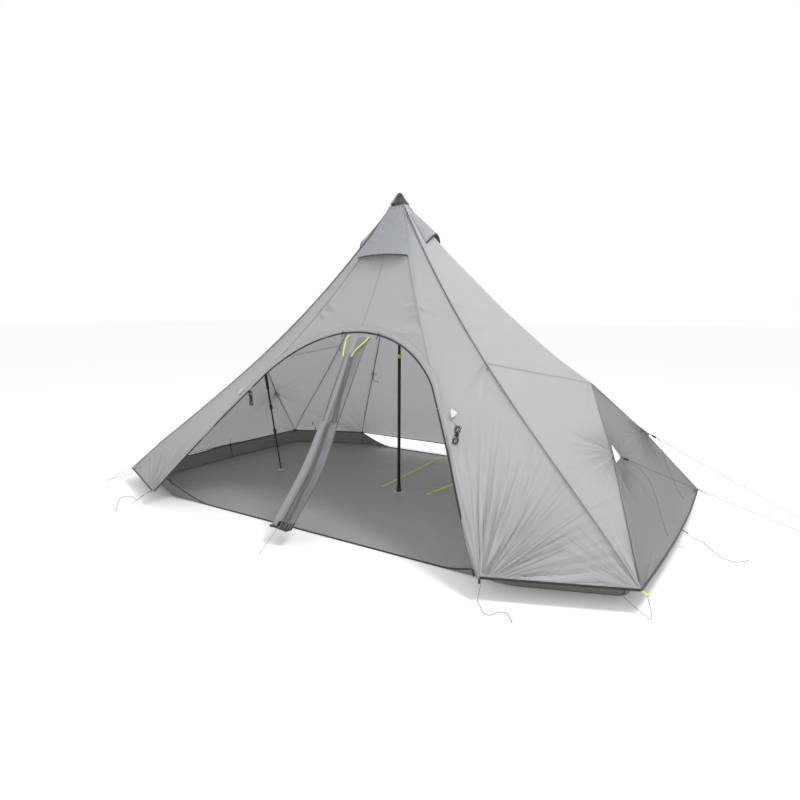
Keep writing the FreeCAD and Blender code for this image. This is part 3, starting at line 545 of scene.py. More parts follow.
def surface_normals(points):
    """Unit normals of a grid of points, looking away from the tent's middle."""
    rows, columns = np.gradient(points, axis=0), np.gradient(points, axis=1)
    normals = np.cross(columns, rows)
    small = np.linalg.norm(normals, axis=-1) < 1e-12
    normals[small] = (points - HEART)[small]
    outward = np.sign((normals * (points - HEART)).sum(axis=-1, keepdims=True))
    return unit(normals * outward)


def faces_out(points):
    """Whether the grid's own winding looks away from the tent's middle."""
    rows, columns = points.shape[0] // 2, points.shape[1] // 2
    across = points[rows, columns + 1] - points[rows, columns]
    down = points[rows + 1, columns] - points[rows, columns]
    return np.dot(np.cross(across, down), points[rows, columns] - HEART) > 0


# A ribbon's section, as shares of its width and of its thickness.
BAND = [(-0.5, 0), (-0.44, 1), (-0.15, 1.12), (0.15, 1.12), (0.44, 1), (0.5, 0), (0.15, -0.05),
        (-0.15, -0.05)]


def ribbon(shape, points, normals, width, thick, lift=0.0):
    """A flat band with bevelled edges, laid on a surface along points; normals may be one direction."""
    points = np.asarray(points, float)
    normals = np.broadcast_to(unit(normals), points.shape)
    side = unit(np.cross(unit(np.gradient(points, axis=0)), normals))
    rows = np.stack([points + side * (across * width) + normals * (lift + up * thick)
                     for across, up in BAND], axis=1)
    count = len(BAND)
    index = np.arange(rows.shape[0] * count).reshape(-1, count)
    faces = []
    for k in range(count):
        n = (k + 1) % count
        faces += [tuple(f) for f in np.stack([index[:-1, k], index[:-1, n], index[1:, n], index[1:, k]],
                                             axis=1)]
    faces += [tuple(index[0][::-1]), tuple(index[-1])]
    along = np.cumsum(steps(points))
    places = np.stack([np.repeat(along[:, None], count, axis=1),
                       np.repeat([[across * width for across, _ in BAND]], len(points), axis=0)], -1)
    return shape.add(rows.reshape(-1, 3), faces, places.reshape(-1, 2))


def frames_along(points):
    """A side and an up direction at each point of a path, without twist."""
    ways = unit(np.gradient(points, axis=0))
    side = unit(np.cross(ways[0], (0.0, 0.0, 1.0) if abs(ways[0][2]) < 0.9 else (1.0, 0.0, 0.0)))
    sides = []
    for way in ways:
        side = unit(side - way * np.dot(side, way))
        sides.append(side)
    sides = np.array(sides)
    return sides, np.cross(ways, sides)


def tube(shape, points, radius, around=8):
    """A round tube along a path, closed at both ends."""
    points = np.asarray(points, float)
    sides, ups = frames_along(points)
    radii = np.broadcast_to(np.asarray(radius, float), (len(points),))
    angles = np.arange(around) * math.tau / around
    rows = (points[:, None] + sides[:, None] * (np.cos(angles)[None, :, None] * radii[:, None, None])
            + ups[:, None] * (np.sin(angles)[None, :, None] * radii[:, None, None]))
    first = len(shape.points)
    shape.grid(rows, wrap=True)
    last = first + (len(points) - 1) * around
    shape.faces.append(tuple(first + i for i in range(around)))
    shape.faces.append(tuple(last + i for i in reversed(range(around))))
    return shape


def lathe(shape, base, axis, profile, around=28):
    """A turned piece: profile is a closed outline of (along the axis, radius)."""
    base, axis = np.asarray(base, float), unit(axis)
    side = unit(np.cross(axis, (0.0, 0.0, 1.0) if abs(axis[2]) < 0.9 else (1.0, 0.0, 0.0)))
    other = np.cross(axis, side)
    angles = np.arange(around) * math.tau / around
    out = np.cos(angles)[:, None] * side + np.sin(angles)[:, None] * other
    rows = np.array([base + axis * along + out * max(radius, 1e-5) for along, radius in profile])
    shape.grid(rows, wrap=True)
    return shape


BLOCK_ROUNDING = 0.25


def block(shape, centre, x_axis, y_axis, size):
    """A small block with cut edges on two given axes."""
    x_axis = unit(x_axis)
    z_axis = unit(np.cross(x_axis, y_axis))
    y_axis = np.cross(z_axis, x_axis)
    half = np.array(size) / 2
    cut = min(half) * BLOCK_ROUNDING
    rows = []
    for level, inset in ((-half[2], cut), (-half[2] + cut, 0), (half[2] - cut, 0), (half[2], cut)):
        corners = []
        for sx, sy in ((1, 1), (-1, 1), (-1, -1), (1, -1)):
            edge = [(half[0] - inset - cut, half[1] - inset), (half[0] - inset, half[1] - inset - cut)]
            if sx * sy > 0:
                edge = edge[::-1]
            corners += [(sx * a, sy * b) for a, b in edge]
        rows.append([centre + x_axis * a + y_axis * b + z_axis * level for a, b in corners])
    first = len(shape.points)
    rows = np.array(rows)
    shape.grid(rows, wrap=True)
    count = rows.shape[1]
    shape.faces.append(tuple(first + i for i in range(count)))
    shape.faces.append(tuple(first + 3 * count + i for i in reversed(range(count))))
    return shape


# ---------------------------------------------------------------- the fly's ridges, as in the CAD part
APEX, HEM = 2.300, 0.110
DOOR_HALF, DOOR_DEPTH, DOOR_SAG = 1.330, 1.300, 1.100
END_REACH, END_DEPTH, END_SAG = 2.040, 0.995, 0.950
PEAK_REACH, PEAK_HEIGHT, PEAK_SAG = 1.480, 0.975, 0.340
MIDDLE_REACH = 2.070
CAP_SHARE, BRANCH_SHARE, CROWN_SHARE = 0.022, 0.469, 0.70
CLOTH = 0.0012
SIDES = [(x, y) for x in (-1, 1) for y in (-1, 1)]
SIDE_NAMES = {-1: "left", 1: "right"}
FACE_NAMES = {-1: "front", 1: "rear"}


def front_ridge(s, x, y):
    s = np.asarray(s, float)
    z = APEX - (APEX - HEM) * s - DOOR_SAG * s * (1 - s) ** 2
    return np.stack([x * DOOR_HALF * s, y * DOOR_DEPTH * s, z], axis=-1)


def side_ridge(s, x, y):
    s = np.asarray(s, float)
    z = APEX - (APEX - HEM) * s - END_SAG * s * (1 - s) ** 1.6
    return np.stack([x * END_REACH * s, y * END_DEPTH * s, z], axis=-1)


def crown_point(s, x):
    return np.array((x * PEAK_REACH * s, 0, APEX - (APEX - PEAK_HEIGHT) * s - PEAK_SAG * s * (1 - s)))


def guy_corner(x, y):
    return np.array((x * GUY_REACH, y * GUY_DEPTH, GUY_HEIGHT))


def between(a, b, count):
    share = np.linspace(0, 1, count)[:, None]
    return np.asarray(a) * (1 - share) + np.asarray(b) * share


def ruled(left, right, columns):
    """Rows of straight lines from one edge curve to the other."""
    t = np.linspace(0, 1, columns)[None, :, None]
    return left[:, None] * (1 - t) + right[:, None] * t


# ---------------------------------------------------------------- tension, sag and wrinkles
def ease(value, reach):
    """Rises smoothly from 0 at an edge to 1 at that reach from it."""
    share = np.clip(np.asarray(value) / reach, 0, 1)
    return share * share * (3 - 2 * share)


def drift(points, seed, pitch, count=7):
    """Slow seeded waves over a surface, from -1 to 1."""
    rng = np.random.default_rng(seed)
    total = np.zeros(points.shape[:-1])
    for _ in range(count):
        way = unit(rng.normal(size=3)) * math.tau / (pitch * rng.uniform(0.6, 1.8))
        total += np.sin(points @ way + rng.uniform(0, math.tau))
    return total / count * 1.6


def crease(points, start, end, height, width):
    """A wrinkle that is narrow and sharp at its start, then widens and dies out."""
    start, end = np.asarray(start, float), np.asarray(end, float)
    run = end - start
    length = np.linalg.norm(run)
    offset = points - start
    along = offset @ (run / length) / length
    apart = np.linalg.norm(offset - along[..., None] * run, axis=-1)
    inside = np.clip(along, 0, 1)
    spread = width * (0.55 + 1.3 * inside)
    fade = np.where((along > 0) & (along < 1), inside ** 0.3 * (1 - inside) ** 1.1 * 1.6, 0)
    crest = np.exp(-(apart / spread) ** 2) - 0.45 * np.exp(-((apart - 1.9 * spread) / spread) ** 2)
    return height * fade * crest


def fan(corner, first, last, count, reach, height, width, seed=1):
    """Wrinkles that run out of a corner between two directions."""
    rng = np.random.default_rng(seed)
    corner, first, last = np.asarray(corner), unit(first), unit(last)
    made = []
    for i in range(count):
        share = (i + 0.5 + rng.uniform(-0.25, 0.25)) / count
        way = unit(first * math.cos(share * math.pi / 2) + last * math.sin(share * math.pi / 2))
        made.append((corner + way * 0.012, corner + way * reach * rng.uniform(0.55, 1.05),
                     height * rng.uniform(0.6, 1.25), width * rng.uniform(0.8, 1.3)))
    return made


def drape(points, edge, sag=0.0, waves=0.004, creases=(), seed=1, pitch=0.55):
    """Move the inside of a panel along its normals; edge is 0 where it is sewn or bound."""
    normals = surface_normals(points)
    move = waves * drift(points, seed, pitch) - sag
    for start, end, height, width in creases:
        move = move + crease(points, start, end, height, width)
    return points + normals * (move * edge)[..., None]


def side_edge(rows, columns, across=0.05, top=0.02, foot=0.02):
    """The share by which each point of a grid may leave its sewn edges."""
    t = np.linspace(0, 1, columns)
    v = np.linspace(0, 1, rows)
    return (ease(np.minimum(t, 1 - t), across)[None, :]
            * np.minimum(ease(v, top), ease(1 - v, foot))[:, None])


PANEL_SLOTS = {"fly": "fly_cloth", "fly_dark": "fly_cloth_dark"}
PANEL_WELD = 2e-5


def cloth_piece(name, grids, node, material="fly"):
    """One panel of the fly from one or more grids that share their edges."""
    shape = Shape()
    for points in grids:
        shape.grid(points, flip=not faces_out(points))
    return shape.build(name, SHELTER, PANEL_SLOTS[material], material, [node], PANEL_WELD, 60, CLOTH)


def grid_area(grids):
    """Area of the cloth in a list of grids, in square metres."""
    total = 0.0
    for points in grids:
        rows, columns = points[1:, :-1] - points[:-1, :-1], points[:-1, 1:] - points[:-1, :-1]
        total += np.linalg.norm(np.cross(rows, columns), axis=-1).sum()
    return float(total)


LEAST_SHARE = 0.34


def declare_panel(obj, grids):
    """Sizes the rectangle that a sewn panel is cut from, as wide as itself; a doorway's legs are cut side by
    side. The sizes are worked out and not used.
    """
    points = np.concatenate([g.reshape(-1, 3) for g in grids])
    middle = points.mean(axis=0)
    _, _, axes = np.linalg.svd(points - middle, full_matrices=False)
    length, width = [float(np.ptp((points - middle) @ axis)) for axis in axes[:2]]
    area = grid_area(grids)
    length = min(max(length, area / width * 1.02), area / width / LEAST_SHARE)


# ---------------------------------------------------------------- the fly: front and back panels
FOOT, LEG, KNEE, NECK = (1.330, 0.060), (0.967, 0.606), (0.814, 0.820), (0.700, 0.975)
ARCH_TOP, ARCH_CENTRE = 1.278, 0.318
ARCH_RADIUS = ARCH_TOP - ARCH_CENTRE
ARCH_STEPS = 26


def arch_outline():
    """Half of the door arch, from its foot to its crown, as (distance from the middle, height)."""
    start = math.asin((NECK[1] - ARCH_CENTRE) / ARCH_RADIUS)
    crown = [(ARCH_RADIUS * math.cos(a), ARCH_CENTRE + ARCH_RADIUS * math.sin(a))
             for a in np.linspace(start, math.pi / 2, ARCH_STEPS)]
    legs = [FOOT, ((FOOT[0] + LEG[0]) / 2, (FOOT[1] + LEG[1]) / 2), LEG, KNEE]
    return np.array(legs + crown)


ARCH = arch_outline()
SHARES = np.linspace(CAP_SHARE, 1, 1200)
FRONT_HEIGHTS = front_ridge(SHARES, 1, 1)[:, 2]


def share_at(height):
    """How far down the front ridge a height is, from 0 at the apex to 1 at the hem."""
    return np.interp(-np.asarray(height, float), -FRONT_HEIGHTS, SHARES)


def front_spot(across, height, y=-1):
    """Point on the front panel at that distance from the middle, and at that height."""
    s = share_at(height)
    return np.stack([np.asarray(across, float) + 0 * s, y * DOOR_DEPTH * s,
                     np.asarray(height, float) + 0 * s], axis=-1)


FRONT_COLUMNS, FRONT_ROWS, STRIP_ROWS = 96, 90, 150
TENSION = 0.006


def bulge(x, y, share, height, width):
    """A short pucker where a cord's loop is sewn inside a ridge."""
    spot = front_ridge(share, x, y)
    return (spot + np.array((-x * 0.015, 0, 0)), spot + np.array((-x * 0.11, 0, -0.05)), height, width)


def front_grids():
    top = float(share_at(ARCH_TOP))
    upper = np.linspace(CAP_SHARE, top, FRONT_ROWS)
    sheet = ruled(front_ridge(upper, -1, -1), front_ridge(upper, 1, -1), FRONT_COLUMNS + 1)
    puckers = [bulge(x, -1, share, height=0.016, width=0.020) for x in (-1, 1) for share in (0.30, 0.33)]
    puckers += fan(front_ridge(CAP_SHARE, 0, -1), (-0.3, -0.3, -1), (0.3, -0.3, -1),
                   count=6, reach=0.5, height=0.006, width=0.012, seed=4)
    edge = side_edge(FRONT_ROWS, FRONT_COLUMNS + 1, across=0.04, top=0.02, foot=0.10)
    grids = [drape(sheet, edge, sag=TENSION, waves=0.004, creases=puckers, seed=11)]
    lower = top + (1 - top) * np.linspace(0, 1, STRIP_ROWS) ** 2
    heights = front_ridge(lower, 1, -1)[:, 2]
    half = np.interp(heights, ARCH[:, 1], ARCH[:, 0])
    half[0] = 0
    for x in (-1, 1):
        arch = np.stack([x * half, -DOOR_DEPTH * lower, heights], axis=-1)
        strip = ruled(arch, front_ridge(lower, x, -1), FRONT_COLUMNS // 2 + 1)
        edge = side_edge(STRIP_ROWS, FRONT_COLUMNS // 2 + 1, across=0.10, top=0.10, foot=0.02)
        corner = front_ridge(1, x, -1)
        pulls = fan(front_ridge(0.62, x, -1), (-x * 0.2, 0.5, 1), (-x, 0.1, 0.2),
                    count=5, reach=0.25, height=0.005, width=0.010, seed=5)
        pulls += fan(corner, (-x * 0.2, 0.5, 0.9), (-x * 0.5, 0.5, 0.8),
                     count=3, reach=0.5, height=0.003, width=0.007, seed=6)
        grids.append(drape(strip, edge, sag=0.0, waves=0.003, creases=pulls, seed=12))
    return grids


grids = front_grids()
declare_panel(cloth_piece("front_panel", grids, "fly_front_panel"), grids)

BACK_ROWS, BACK_COLUMNS = 150, 110
levels = np.linspace(CAP_SHARE, 1, BACK_ROWS)
back = ruled(front_ridge(levels, 1, 1), front_ridge(levels, -1, 1), BACK_COLUMNS)
back_pulls = []
for x in (-1, 1):
    corner = front_ridge(1, x, 1)
    back_pulls += fan(corner, (-x * 0.3, -0.4, 0.9), (-x, 0, 0.1),
                      count=10, reach=0.80, height=0.009, width=0.016, seed=20 + x)
back = drape(back, side_edge(BACK_ROWS, BACK_COLUMNS, 0.02), 0.014, 0.006, back_pulls, 21)
declare_panel(cloth_piece("back_panel", [back], "fly_back_panel"), [back])

# ---------------------------------------------------------------- the fly: side panels
SIDE_ROWS, SIDE_COLUMNS = 210, 80


def side_grid(x, y):
    s = CAP_SHARE + (1 - CAP_SHARE) * np.linspace(0, 1, SIDE_ROWS) ** 0.85
    sheet = ruled(front_ridge(s, x, y), side_ridge(s, x, y), SIDE_COLUMNS)
    near, far = front_ridge(1, x, y), side_ridge(1, x, y)
    up_near, up_far = front_ridge(0.88, x, y) - near, side_ridge(0.88, x, y) - far
    hem = far - near
    strong = 1.0 if (x, y) == (1, -1) else 0.7
    pulls = fan(near, up_near + hem * 0.08, hem + up_near * 0.10,
                count=15, reach=1.0, height=0.014 * strong, width=0.0105, seed=31 + x)
    pulls += fan(far, up_far - hem * 0.10, -hem + up_far * 0.25,
                 count=8, reach=0.55, height=0.010 * strong, width=0.011, seed=35 + x)
    branch = side_ridge(BRANCH_SHARE, x, y)
    pulls += fan(branch, front_ridge(0.62, x, y) - branch, up_far * -1 + hem * -0.3,
                 count=6, reach=0.36, height=0.006, width=0.012, seed=38)
    mid = front_ridge(0.31, x, y)
    pulls += fan(mid, side_ridge(0.28, x, y) - mid, side_ridge(0.40, x, y) - mid,
                 count=4, reach=0.18, height=0.007, width=0.011, seed=39)
    edge = side_edge(SIDE_ROWS, SIDE_COLUMNS, across=0.025, top=0.02, foot=0.012)
    return drape(sheet, edge, sag=0.010, waves=0.0045, creases=pulls, seed=30 + x + 2 * y)


for x, y in SIDES:
    grid = side_grid(x, y)
    name = "side_panel_%s_%s" % (SIDE_NAMES[x], FACE_NAMES[y])
    declare_panel(cloth_piece(name, [grid], "fly_side_panels"), [grid])

# ---------------------------------------------------------------- the fly: top panels
TOP_ROWS, TOP_HALF_COLUMNS = 150, 34
BRANCH_ROW = 100                           # the row that ends on the branch of the shoulder seam
ROUND_SHARE = 0.35                         # how round the cloth lies over its crown line


def crown_line(x):
    """The line over the top panel's middle, from the cap to the peak."""
    start = side_ridge(CAP_SHARE, x, 1)
    start[1] = 0
    corners = [start, crown_point(0.36, x), crown_point(CROWN_SHARE, x), crown_point(1, x)]
    fine = smooth_path(corners, 600)
    at = np.searchsorted(np.abs(fine[:, 0]), PEAK_REACH * CROWN_SHARE)
    upper, lower = resample(fine[:at + 1], BRANCH_ROW), resample(fine[at:], TOP_ROWS - BRANCH_ROW + 1)
    return np.concatenate([upper, lower[1:]])


def top_edge(x, y):
    """The top panel's edge: down the side ridge to the branch, then across to the peak."""
    ridge = side_ridge(np.linspace(CAP_SHARE, BRANCH_SHARE, BRANCH_ROW), x, y)
    return np.concatenate([ridge, between(ridge[-1], crown_point(1, x), TOP_ROWS - BRANCH_ROW + 1)[1:]])


def top_grid(x):
    front, crown, rear = top_edge(x, -1), crown_line(x), top_edge(x, 1)
    halves = [ruled(front, crown, TOP_HALF_COLUMNS), ruled(crown, rear, TOP_HALF_COLUMNS)[:, 1:]]
    straight = np.concatenate(halves, axis=1)
    t = np.linspace(-1, 1, straight.shape[1])[None, :, None]
    curved = (front[:, None] * t * (t - 1) / 2 + crown[:, None] * (1 - t * t)
              + rear[:, None] * t * (t + 1) / 2)
    sheet = straight * (1 - ROUND_SHARE) + curved * ROUND_SHARE
    peak = crown[-1]
    pulls = []
    for side, rim in ((-1, front), (1, rear)):
        branch = rim[BRANCH_ROW - 1]
        pulls += fan(peak, branch - peak, crown[-30] - peak,
                     count=7, reach=0.45, height=0.006, width=0.011, seed=41 + side)
        pulls += fan(branch, crown[BRANCH_ROW - 30] - branch, crown[-12] - branch,
                     count=6, reach=0.42, height=0.007, width=0.012, seed=43 + side)
        for back, ahead in ((62, 26), (78, 12)):
            pulls.append((rim[back], crown[back + ahead], 0.012, 0.016))
            pulls.append((rim[back] + (0, 0, -0.03), crown[back + ahead + 5], 0.010, 0.013))
    edge = side_edge(TOP_ROWS, sheet.shape[1], across=0.03, top=0.03, foot=0.03)
    return drape(sheet, edge, sag=0.006, waves=0.004, creases=pulls, seed=40 + x)


TOP_SHEETS = {x: top_grid(x) for x in (-1, 1)}
for x, grid in TOP_SHEETS.items():
    declare_panel(cloth_piece("top_panel_" + SIDE_NAMES[x], [grid], "fly_top_panels"), [grid])

# ---------------------------------------------------------------- the fly: shoulders and end walls
SHOULDER_ROWS, SHOULDER_COLUMNS = 116, 64
GUY_ROW = 46                               # the row that ends on the guy-out corner


def wall_edge(x, y):
    """The seam between a shoulder and its end wall: peak, guy-out corner, hem corner."""
    guy = guy_corner(x, y)
    down = between(guy, side_ridge(1, x, y), SHOULDER_ROWS - GUY_ROW + 1)[1:]
    return np.concatenate([between(crown_point(1, x), guy, GUY_ROW), down])


def shoulder_grid(x, y):
    s = np.linspace(BRANCH_SHARE, 1, SHOULDER_ROWS)
    sheet = ruled(side_ridge(s, x, y), wall_edge(x, y), SHOULDER_COLUMNS)
    guy, peak, corner = guy_corner(x, y), crown_point(1, x), side_ridge(1, x, y)
    branch = side_ridge(BRANCH_SHARE, x, y)
    pulls = fan(guy, branch - guy, side_ridge(0.85, x, y) - guy,
                count=9, reach=0.44, height=0.008, width=0.012, seed=51 + x)
    pulls += fan(peak, guy - peak, branch - peak, count=5, reach=0.34, height=0.006, width=0.010, seed=53)
    pulls += fan(corner, guy - corner, side_ridge(0.8, x, y) - corner,
                 count=5, reach=0.42, height=0.007, width=0.009, seed=54)
    edge = side_edge(SHOULDER_ROWS, SHOULDER_COLUMNS, across=0.03, top=0.001, foot=0.02)
    return drape(sheet, edge, sag=0.006, waves=0.003, creases=pulls, seed=50 + x + y)


for x, y in SIDES:
    grid = shoulder_grid(x, y)
    name = "shoulder_%s_%s" % (SIDE_NAMES[x], FACE_NAMES[y])
    declare_panel(cloth_piece(name, [grid], "fly_shoulder_panels"), [grid])

WALL_COLUMNS = 150


def end_wall_grid(x):
    front, rear = wall_edge(x, -1), wall_edge(x, 1)
    sheet = ruled(front, rear, WALL_COLUMNS)
    t = np.linspace(-1, 1, WALL_COLUMNS)[None, :]
    down = np.clip((GUY_HEIGHT - front[:, 2]) / (GUY_HEIGHT - HEM), 0, 1)[:, None]
    sheet[..., 0] += x * (MIDDLE_REACH - END_REACH) * down * (1 - t * t)
    pulls = []
    for y, rim in ((-1, front), (1, rear)):
        guy, corner = guy_corner(x, y), side_ridge(1, x, y)
        inward = np.array((0.0, -y, 0.0))
        down_way = np.array((x * 0.4, 0.0, -1.0))
        pulls += fan(guy, corner - guy + inward * 0.05, inward + down_way * 0.25,
                     count=10, reach=0.46, height=0.013, width=0.012, seed=61 + y)
        pulls += fan(corner, guy - corner + inward * 0.08, inward - down_way * 0.2,
                     count=8, reach=0.46, height=0.010, width=0.012, seed=64 + y)
    peak = crown_point(1, x)
    pulls += fan(peak, guy_corner(x, -1) - peak, guy_corner(x, 1) - peak,
                 count=7, reach=0.30, height=0.006, width=0.010, seed=67)
    middle = np.array((x * MIDDLE_REACH, 0, HEM))
    pulls += fan(middle, (-x * 0.2, -1, 0.5), (-x * 0.2, 1, 0.5),
                 count=7, reach=0.30, height=0.008, width=0.012, seed=68)
    edge = side_edge(SHOULDER_ROWS, WALL_COLUMNS, across=0.03, top=0.02, foot=0.02)
    return drape(sheet, edge, sag=0.006, waves=0.006, creases=pulls, seed=60 + x, pitch=0.4)


for x in (-1, 1):
    grid = end_wall_grid(x)
    declare_panel(cloth_piece("end_wall_" + SIDE_NAMES[x], [grid], "fly_end_walls", "fly_dark"), [grid])

# ---------------------------------------------------------------- seams
SEAM_WIDTH, SEAM_THICK = 0.009, 0.0007
TAPE_WIDTH, TAPE_THICK, TAPE_DROP = 0.008, 0.0009, 0.0070


def away(points):
    """Directions out of the tent, for what lies along a ridge."""
    out = unit(points - HEART)
    return out


def ridge_lines():
    s = np.linspace(CAP_SHARE, 1, 160)
    lines = {"front": [front_ridge(s, x, y) for x, y in SIDES],
             "side": [side_ridge(s, x, y) for x, y in SIDES]}
    branches = [between(side_ridge(BRANCH_SHARE, x, y), crown_point(1, x), 60) for x, y in SIDES]
    walls = [wall_edge(x, y) for x, y in SIDES]
    return lines["front"] + lines["side"], branches, walls


ridges, branches, walls = ridge_lines()
outer = Shape()
inner = Shape()
for line in ridges + branches + walls:
    ribbon(outer, line, away(line), SEAM_WIDTH, SEAM_THICK, 0.0001)
for line in ridges + walls:
    ribbon(inner, line, -away(line), TAPE_WIDTH, TAPE_THICK, TAPE_DROP)
middle = np.linspace(CAP_SHARE, float(share_at(ARCH_TOP + 0.055)), 60)
centre_front = np.stack([0 * middle, -DOOR_DEPTH * middle, front_ridge(middle, 1, 1)[:, 2]], axis=-1)
ribbon(outer, centre_front, away(centre_front), 0.008, SEAM_THICK, -0.004)
outer.build("fly_seams", SHELTER, "fly_cloth", "seam", sharp=50)
inner.build("ridge_tapes", SHELTER, "black_webbing", "black_tape", sharp=50)


# ---------------------------------------------------------------- bindings along the free edges
def binding(shape, edge, up, out, width, wrap=0.0022):
    """Tape folded round a free edge; up points from the edge into the cloth."""
    edge, up, out = np.asarray(edge), unit(up), unit(out)
    profile = [(width, 0.0008), (width * 0.9, 0.0016), (width * 0.3, 0.0020), (0, 0.0017),
               (-0.0014, 0), (-0.0014, -wrap * 0.8), (0, -wrap - 0.0012), (width * 0.3, -wrap - 0.0014),
               (width * 0.9, -wrap - 0.001), (width, -wrap)]
    rows = np.stack([edge + up * a + out * b for a, b in profile], axis=1)
    return shape.grid(rows, wrap=True)


HEM_TAPE, ARCH_TAPE = 0.011, 0.013
FRONT_OUT = np.array((0.0, -0.8556, 0.5176))


def hem_runs():
    """Every run of the hem, with the direction up the cloth above it."""
    runs = [between(front_ridge(1, 1, 1), front_ridge(1, -1, 1), 60)]
    for x, y in SIDES:
        runs.append(between(front_ridge(1, x, y), side_ridge(1, x, y), 50))
    for x in (-1, 1):
        t = np.linspace(-1, 1, 90)
        bow = x * (MIDDLE_REACH - END_REACH) * (1 - t * t)
        runs.append(np.stack([x * END_REACH + bow, END_DEPTH * t, HEM + 0 * t], axis=-1))
    return runs


edges = Shape()
for run in hem_runs():
    flat = unit(run - np.array((0, 0, HEM)))
    along = unit(np.gradient(run, axis=0))
    sideways = unit(np.cross(along, (0.0, 0.0, 1.0)))
    sideways *= np.sign((sideways * flat).sum(axis=1, keepdims=True))
    up = unit(np.array((0, 0, 1.0)) - sideways * 0.62)
    out = unit(sideways + np.array((0, 0, 0.62)))
    binding(edges, run, up, out, HEM_TAPE)


def arch_line(grow=0.0, count=260, lowest=HEM):
    """The door arch on the front panel, from its left foot over the crown to its right foot."""
    keep = ARCH[:, 1] > lowest
    first = (float(np.interp(lowest, ARCH[:, 1], ARCH[:, 0])), lowest)
    half = np.concatenate([[first], ARCH[keep]])
    flat = np.concatenate([half * (-1, 1), half[::-1][1:]])
    flat = resample(flat, count)
    if grow:
        way = unit(np.gradient(flat, axis=0))
        flat = flat + np.stack([-way[:, 1], way[:, 0]], axis=1) * grow
    return front_spot(flat[:, 0], flat[:, 1]), np.stack([flat[:, 0], flat[:, 1]], axis=1)


edge, _ = arch_line()
grown, _ = arch_line(0.02)
out = np.repeat(FRONT_OUT[None], len(edge), axis=0)
binding(edges, edge, grown - edge, out, ARCH_TAPE)
edges.build("edge_tapes", SHELTER, "black_webbing", "black_tape", ["edge_binding"], sharp=60)

# The rain flap over the door's zip, a strip that runs out to nothing down each leg, and the seam along its
# outer edge.
FLAP_WIDTH, FLAP_LIFT = 0.048, 0.004
_, flat = arch_line(FLAP_WIDTH, 260)
base, _ = arch_line(0.010, 260)
share = ease(flat[:, 1] - 0.62, 0.45)
rows = []
for across in np.linspace(0.18, 1, 7):
    spot, _ = arch_line(FLAP_WIDTH * across, 260)
    hump = FLAP_LIFT * math.sin(math.pi * across) + 0.0012
    rows.append(base + (spot - base) * share[:, None] + FRONT_OUT * (hump * (0.3 + 0.7 * share))[:, None])
rows = np.array(rows)
keep = share > 0.02
flap = Shape().grid(rows[:, keep], flip=not faces_out(rows[:, keep]))
flap.build("rain_flap", SHELTER, "fly_cloth", "fly", thick=CLOTH, sharp=60)
flap_seam = Shape()
ribbon(flap_seam, rows[-1][keep], FRONT_OUT, 0.006, 0.0008, 0.0002)
flap_seam.build("rain_flap_seam", SHELTER, "fly_cloth", "seam")

# ---------------------------------------------------------------- apex cap
cap_low, cap_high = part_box("apex_cap")
CAP_RADIUS, CAP_TIP, CAP_RIM = cap_high.x, 0.011, 0.006
cap = Shape()
lathe(cap, (0, 0, 0), (0, 0, 1), [
    (cap_low.z + 0.001, CAP_RADIUS - 0.0045), (cap_low.z, CAP_RADIUS - 0.001),
    (cap_low.z + 0.003, CAP_RADIUS), (cap_low.z + CAP_RIM, CAP_RADIUS - 0.0025),
    (cap_low.z + CAP_RIM + 0.002, CAP_RADIUS - 0.0065), (cap_low.z + 0.040, CAP_RADIUS * 0.58),
    (cap_low.z + 0.062, CAP_RADIUS * 0.37), (cap_high.z - 0.008, CAP_TIP + 0.006),
    (cap_high.z - 0.002, CAP_TIP), (cap_high.z, CAP_TIP * 0.55), (cap_high.z, 0.0),
    (cap_high.z - 0.004, 0.0), (cap_high.z - 0.010, CAP_TIP), (cap_low.z + 0.030, CAP_RADIUS * 0.62)], 48)
for k in range(4):
    turn = math.radians(24 + 90 * k)
    foot = np.array((math.cos(turn), math.sin(turn), 0.0))
    rise = [foot * (CAP_RADIUS * (1 - 0.72 * v)) + (0, 0, cap_low.z + 0.008 + 0.066 * v)
            for v in np.linspace(0, 1, 9)]
    ribbon(cap, rise, foot + (0, 0, 0.8), 0.008, 0.001, 0.0012)
cap.build("apex_cap_cone", SHELTER, "black_plastic", "black_tape", ["apex_cap"], sharp=45)

# ---------------------------------------------------------------- vent hoods
HOOD_TOP_HALF, HOOD_TOP_DEPTH, HOOD_TOP = 0.052, 0.060, 2.198
HOOD_LOW_HALF, HOOD_LOW_DEPTH, HOOD_LOW = 0.222, 0.252, 1.815
HOOD_ROWS, HOOD_COLUMNS = 60, 64


def hood_sheet(y):
    """A vent hood, narrow at the top and bulging towards its low edge."""
    v = np.linspace(0, 1, HOOD_ROWS)[:, None]
    t = np.linspace(-1, 1, HOOD_COLUMNS)[None, :]
    crown = (1 - np.abs(t) ** 2.4)
    x = (HOOD_TOP_HALF + (HOOD_LOW_HALF - HOOD_TOP_HALF) * v) * t
    depth = HOOD_TOP_DEPTH + (HOOD_LOW_DEPTH - HOOD_TOP_DEPTH) * v ** 1.12
    depth = depth + (crown - 0.75) * 0.022 * v
    z = HOOD_TOP + (HOOD_LOW - HOOD_TOP) * v + 0.014 * crown * v ** 3 + 0 * t
    points = np.stack([x, y * depth, z], axis=-1)
    pulls = []
    for x_sign in (-1, 1):
        for k in range(3):
            start = points[18 + 10 * k, -1 if x_sign > 0 else 0]
            pulls.append((start, points[24 + 10 * k, HOOD_COLUMNS // 2 + x_sign * 8], 0.004, 0.010))
    edge = side_edge(HOOD_ROWS, HOOD_COLUMNS, across=0.04, top=0.02, foot=0.02)
    return drape(points, edge, sag=0.0, waves=0.003, creases=pulls, seed=70 + y, pitch=0.2)


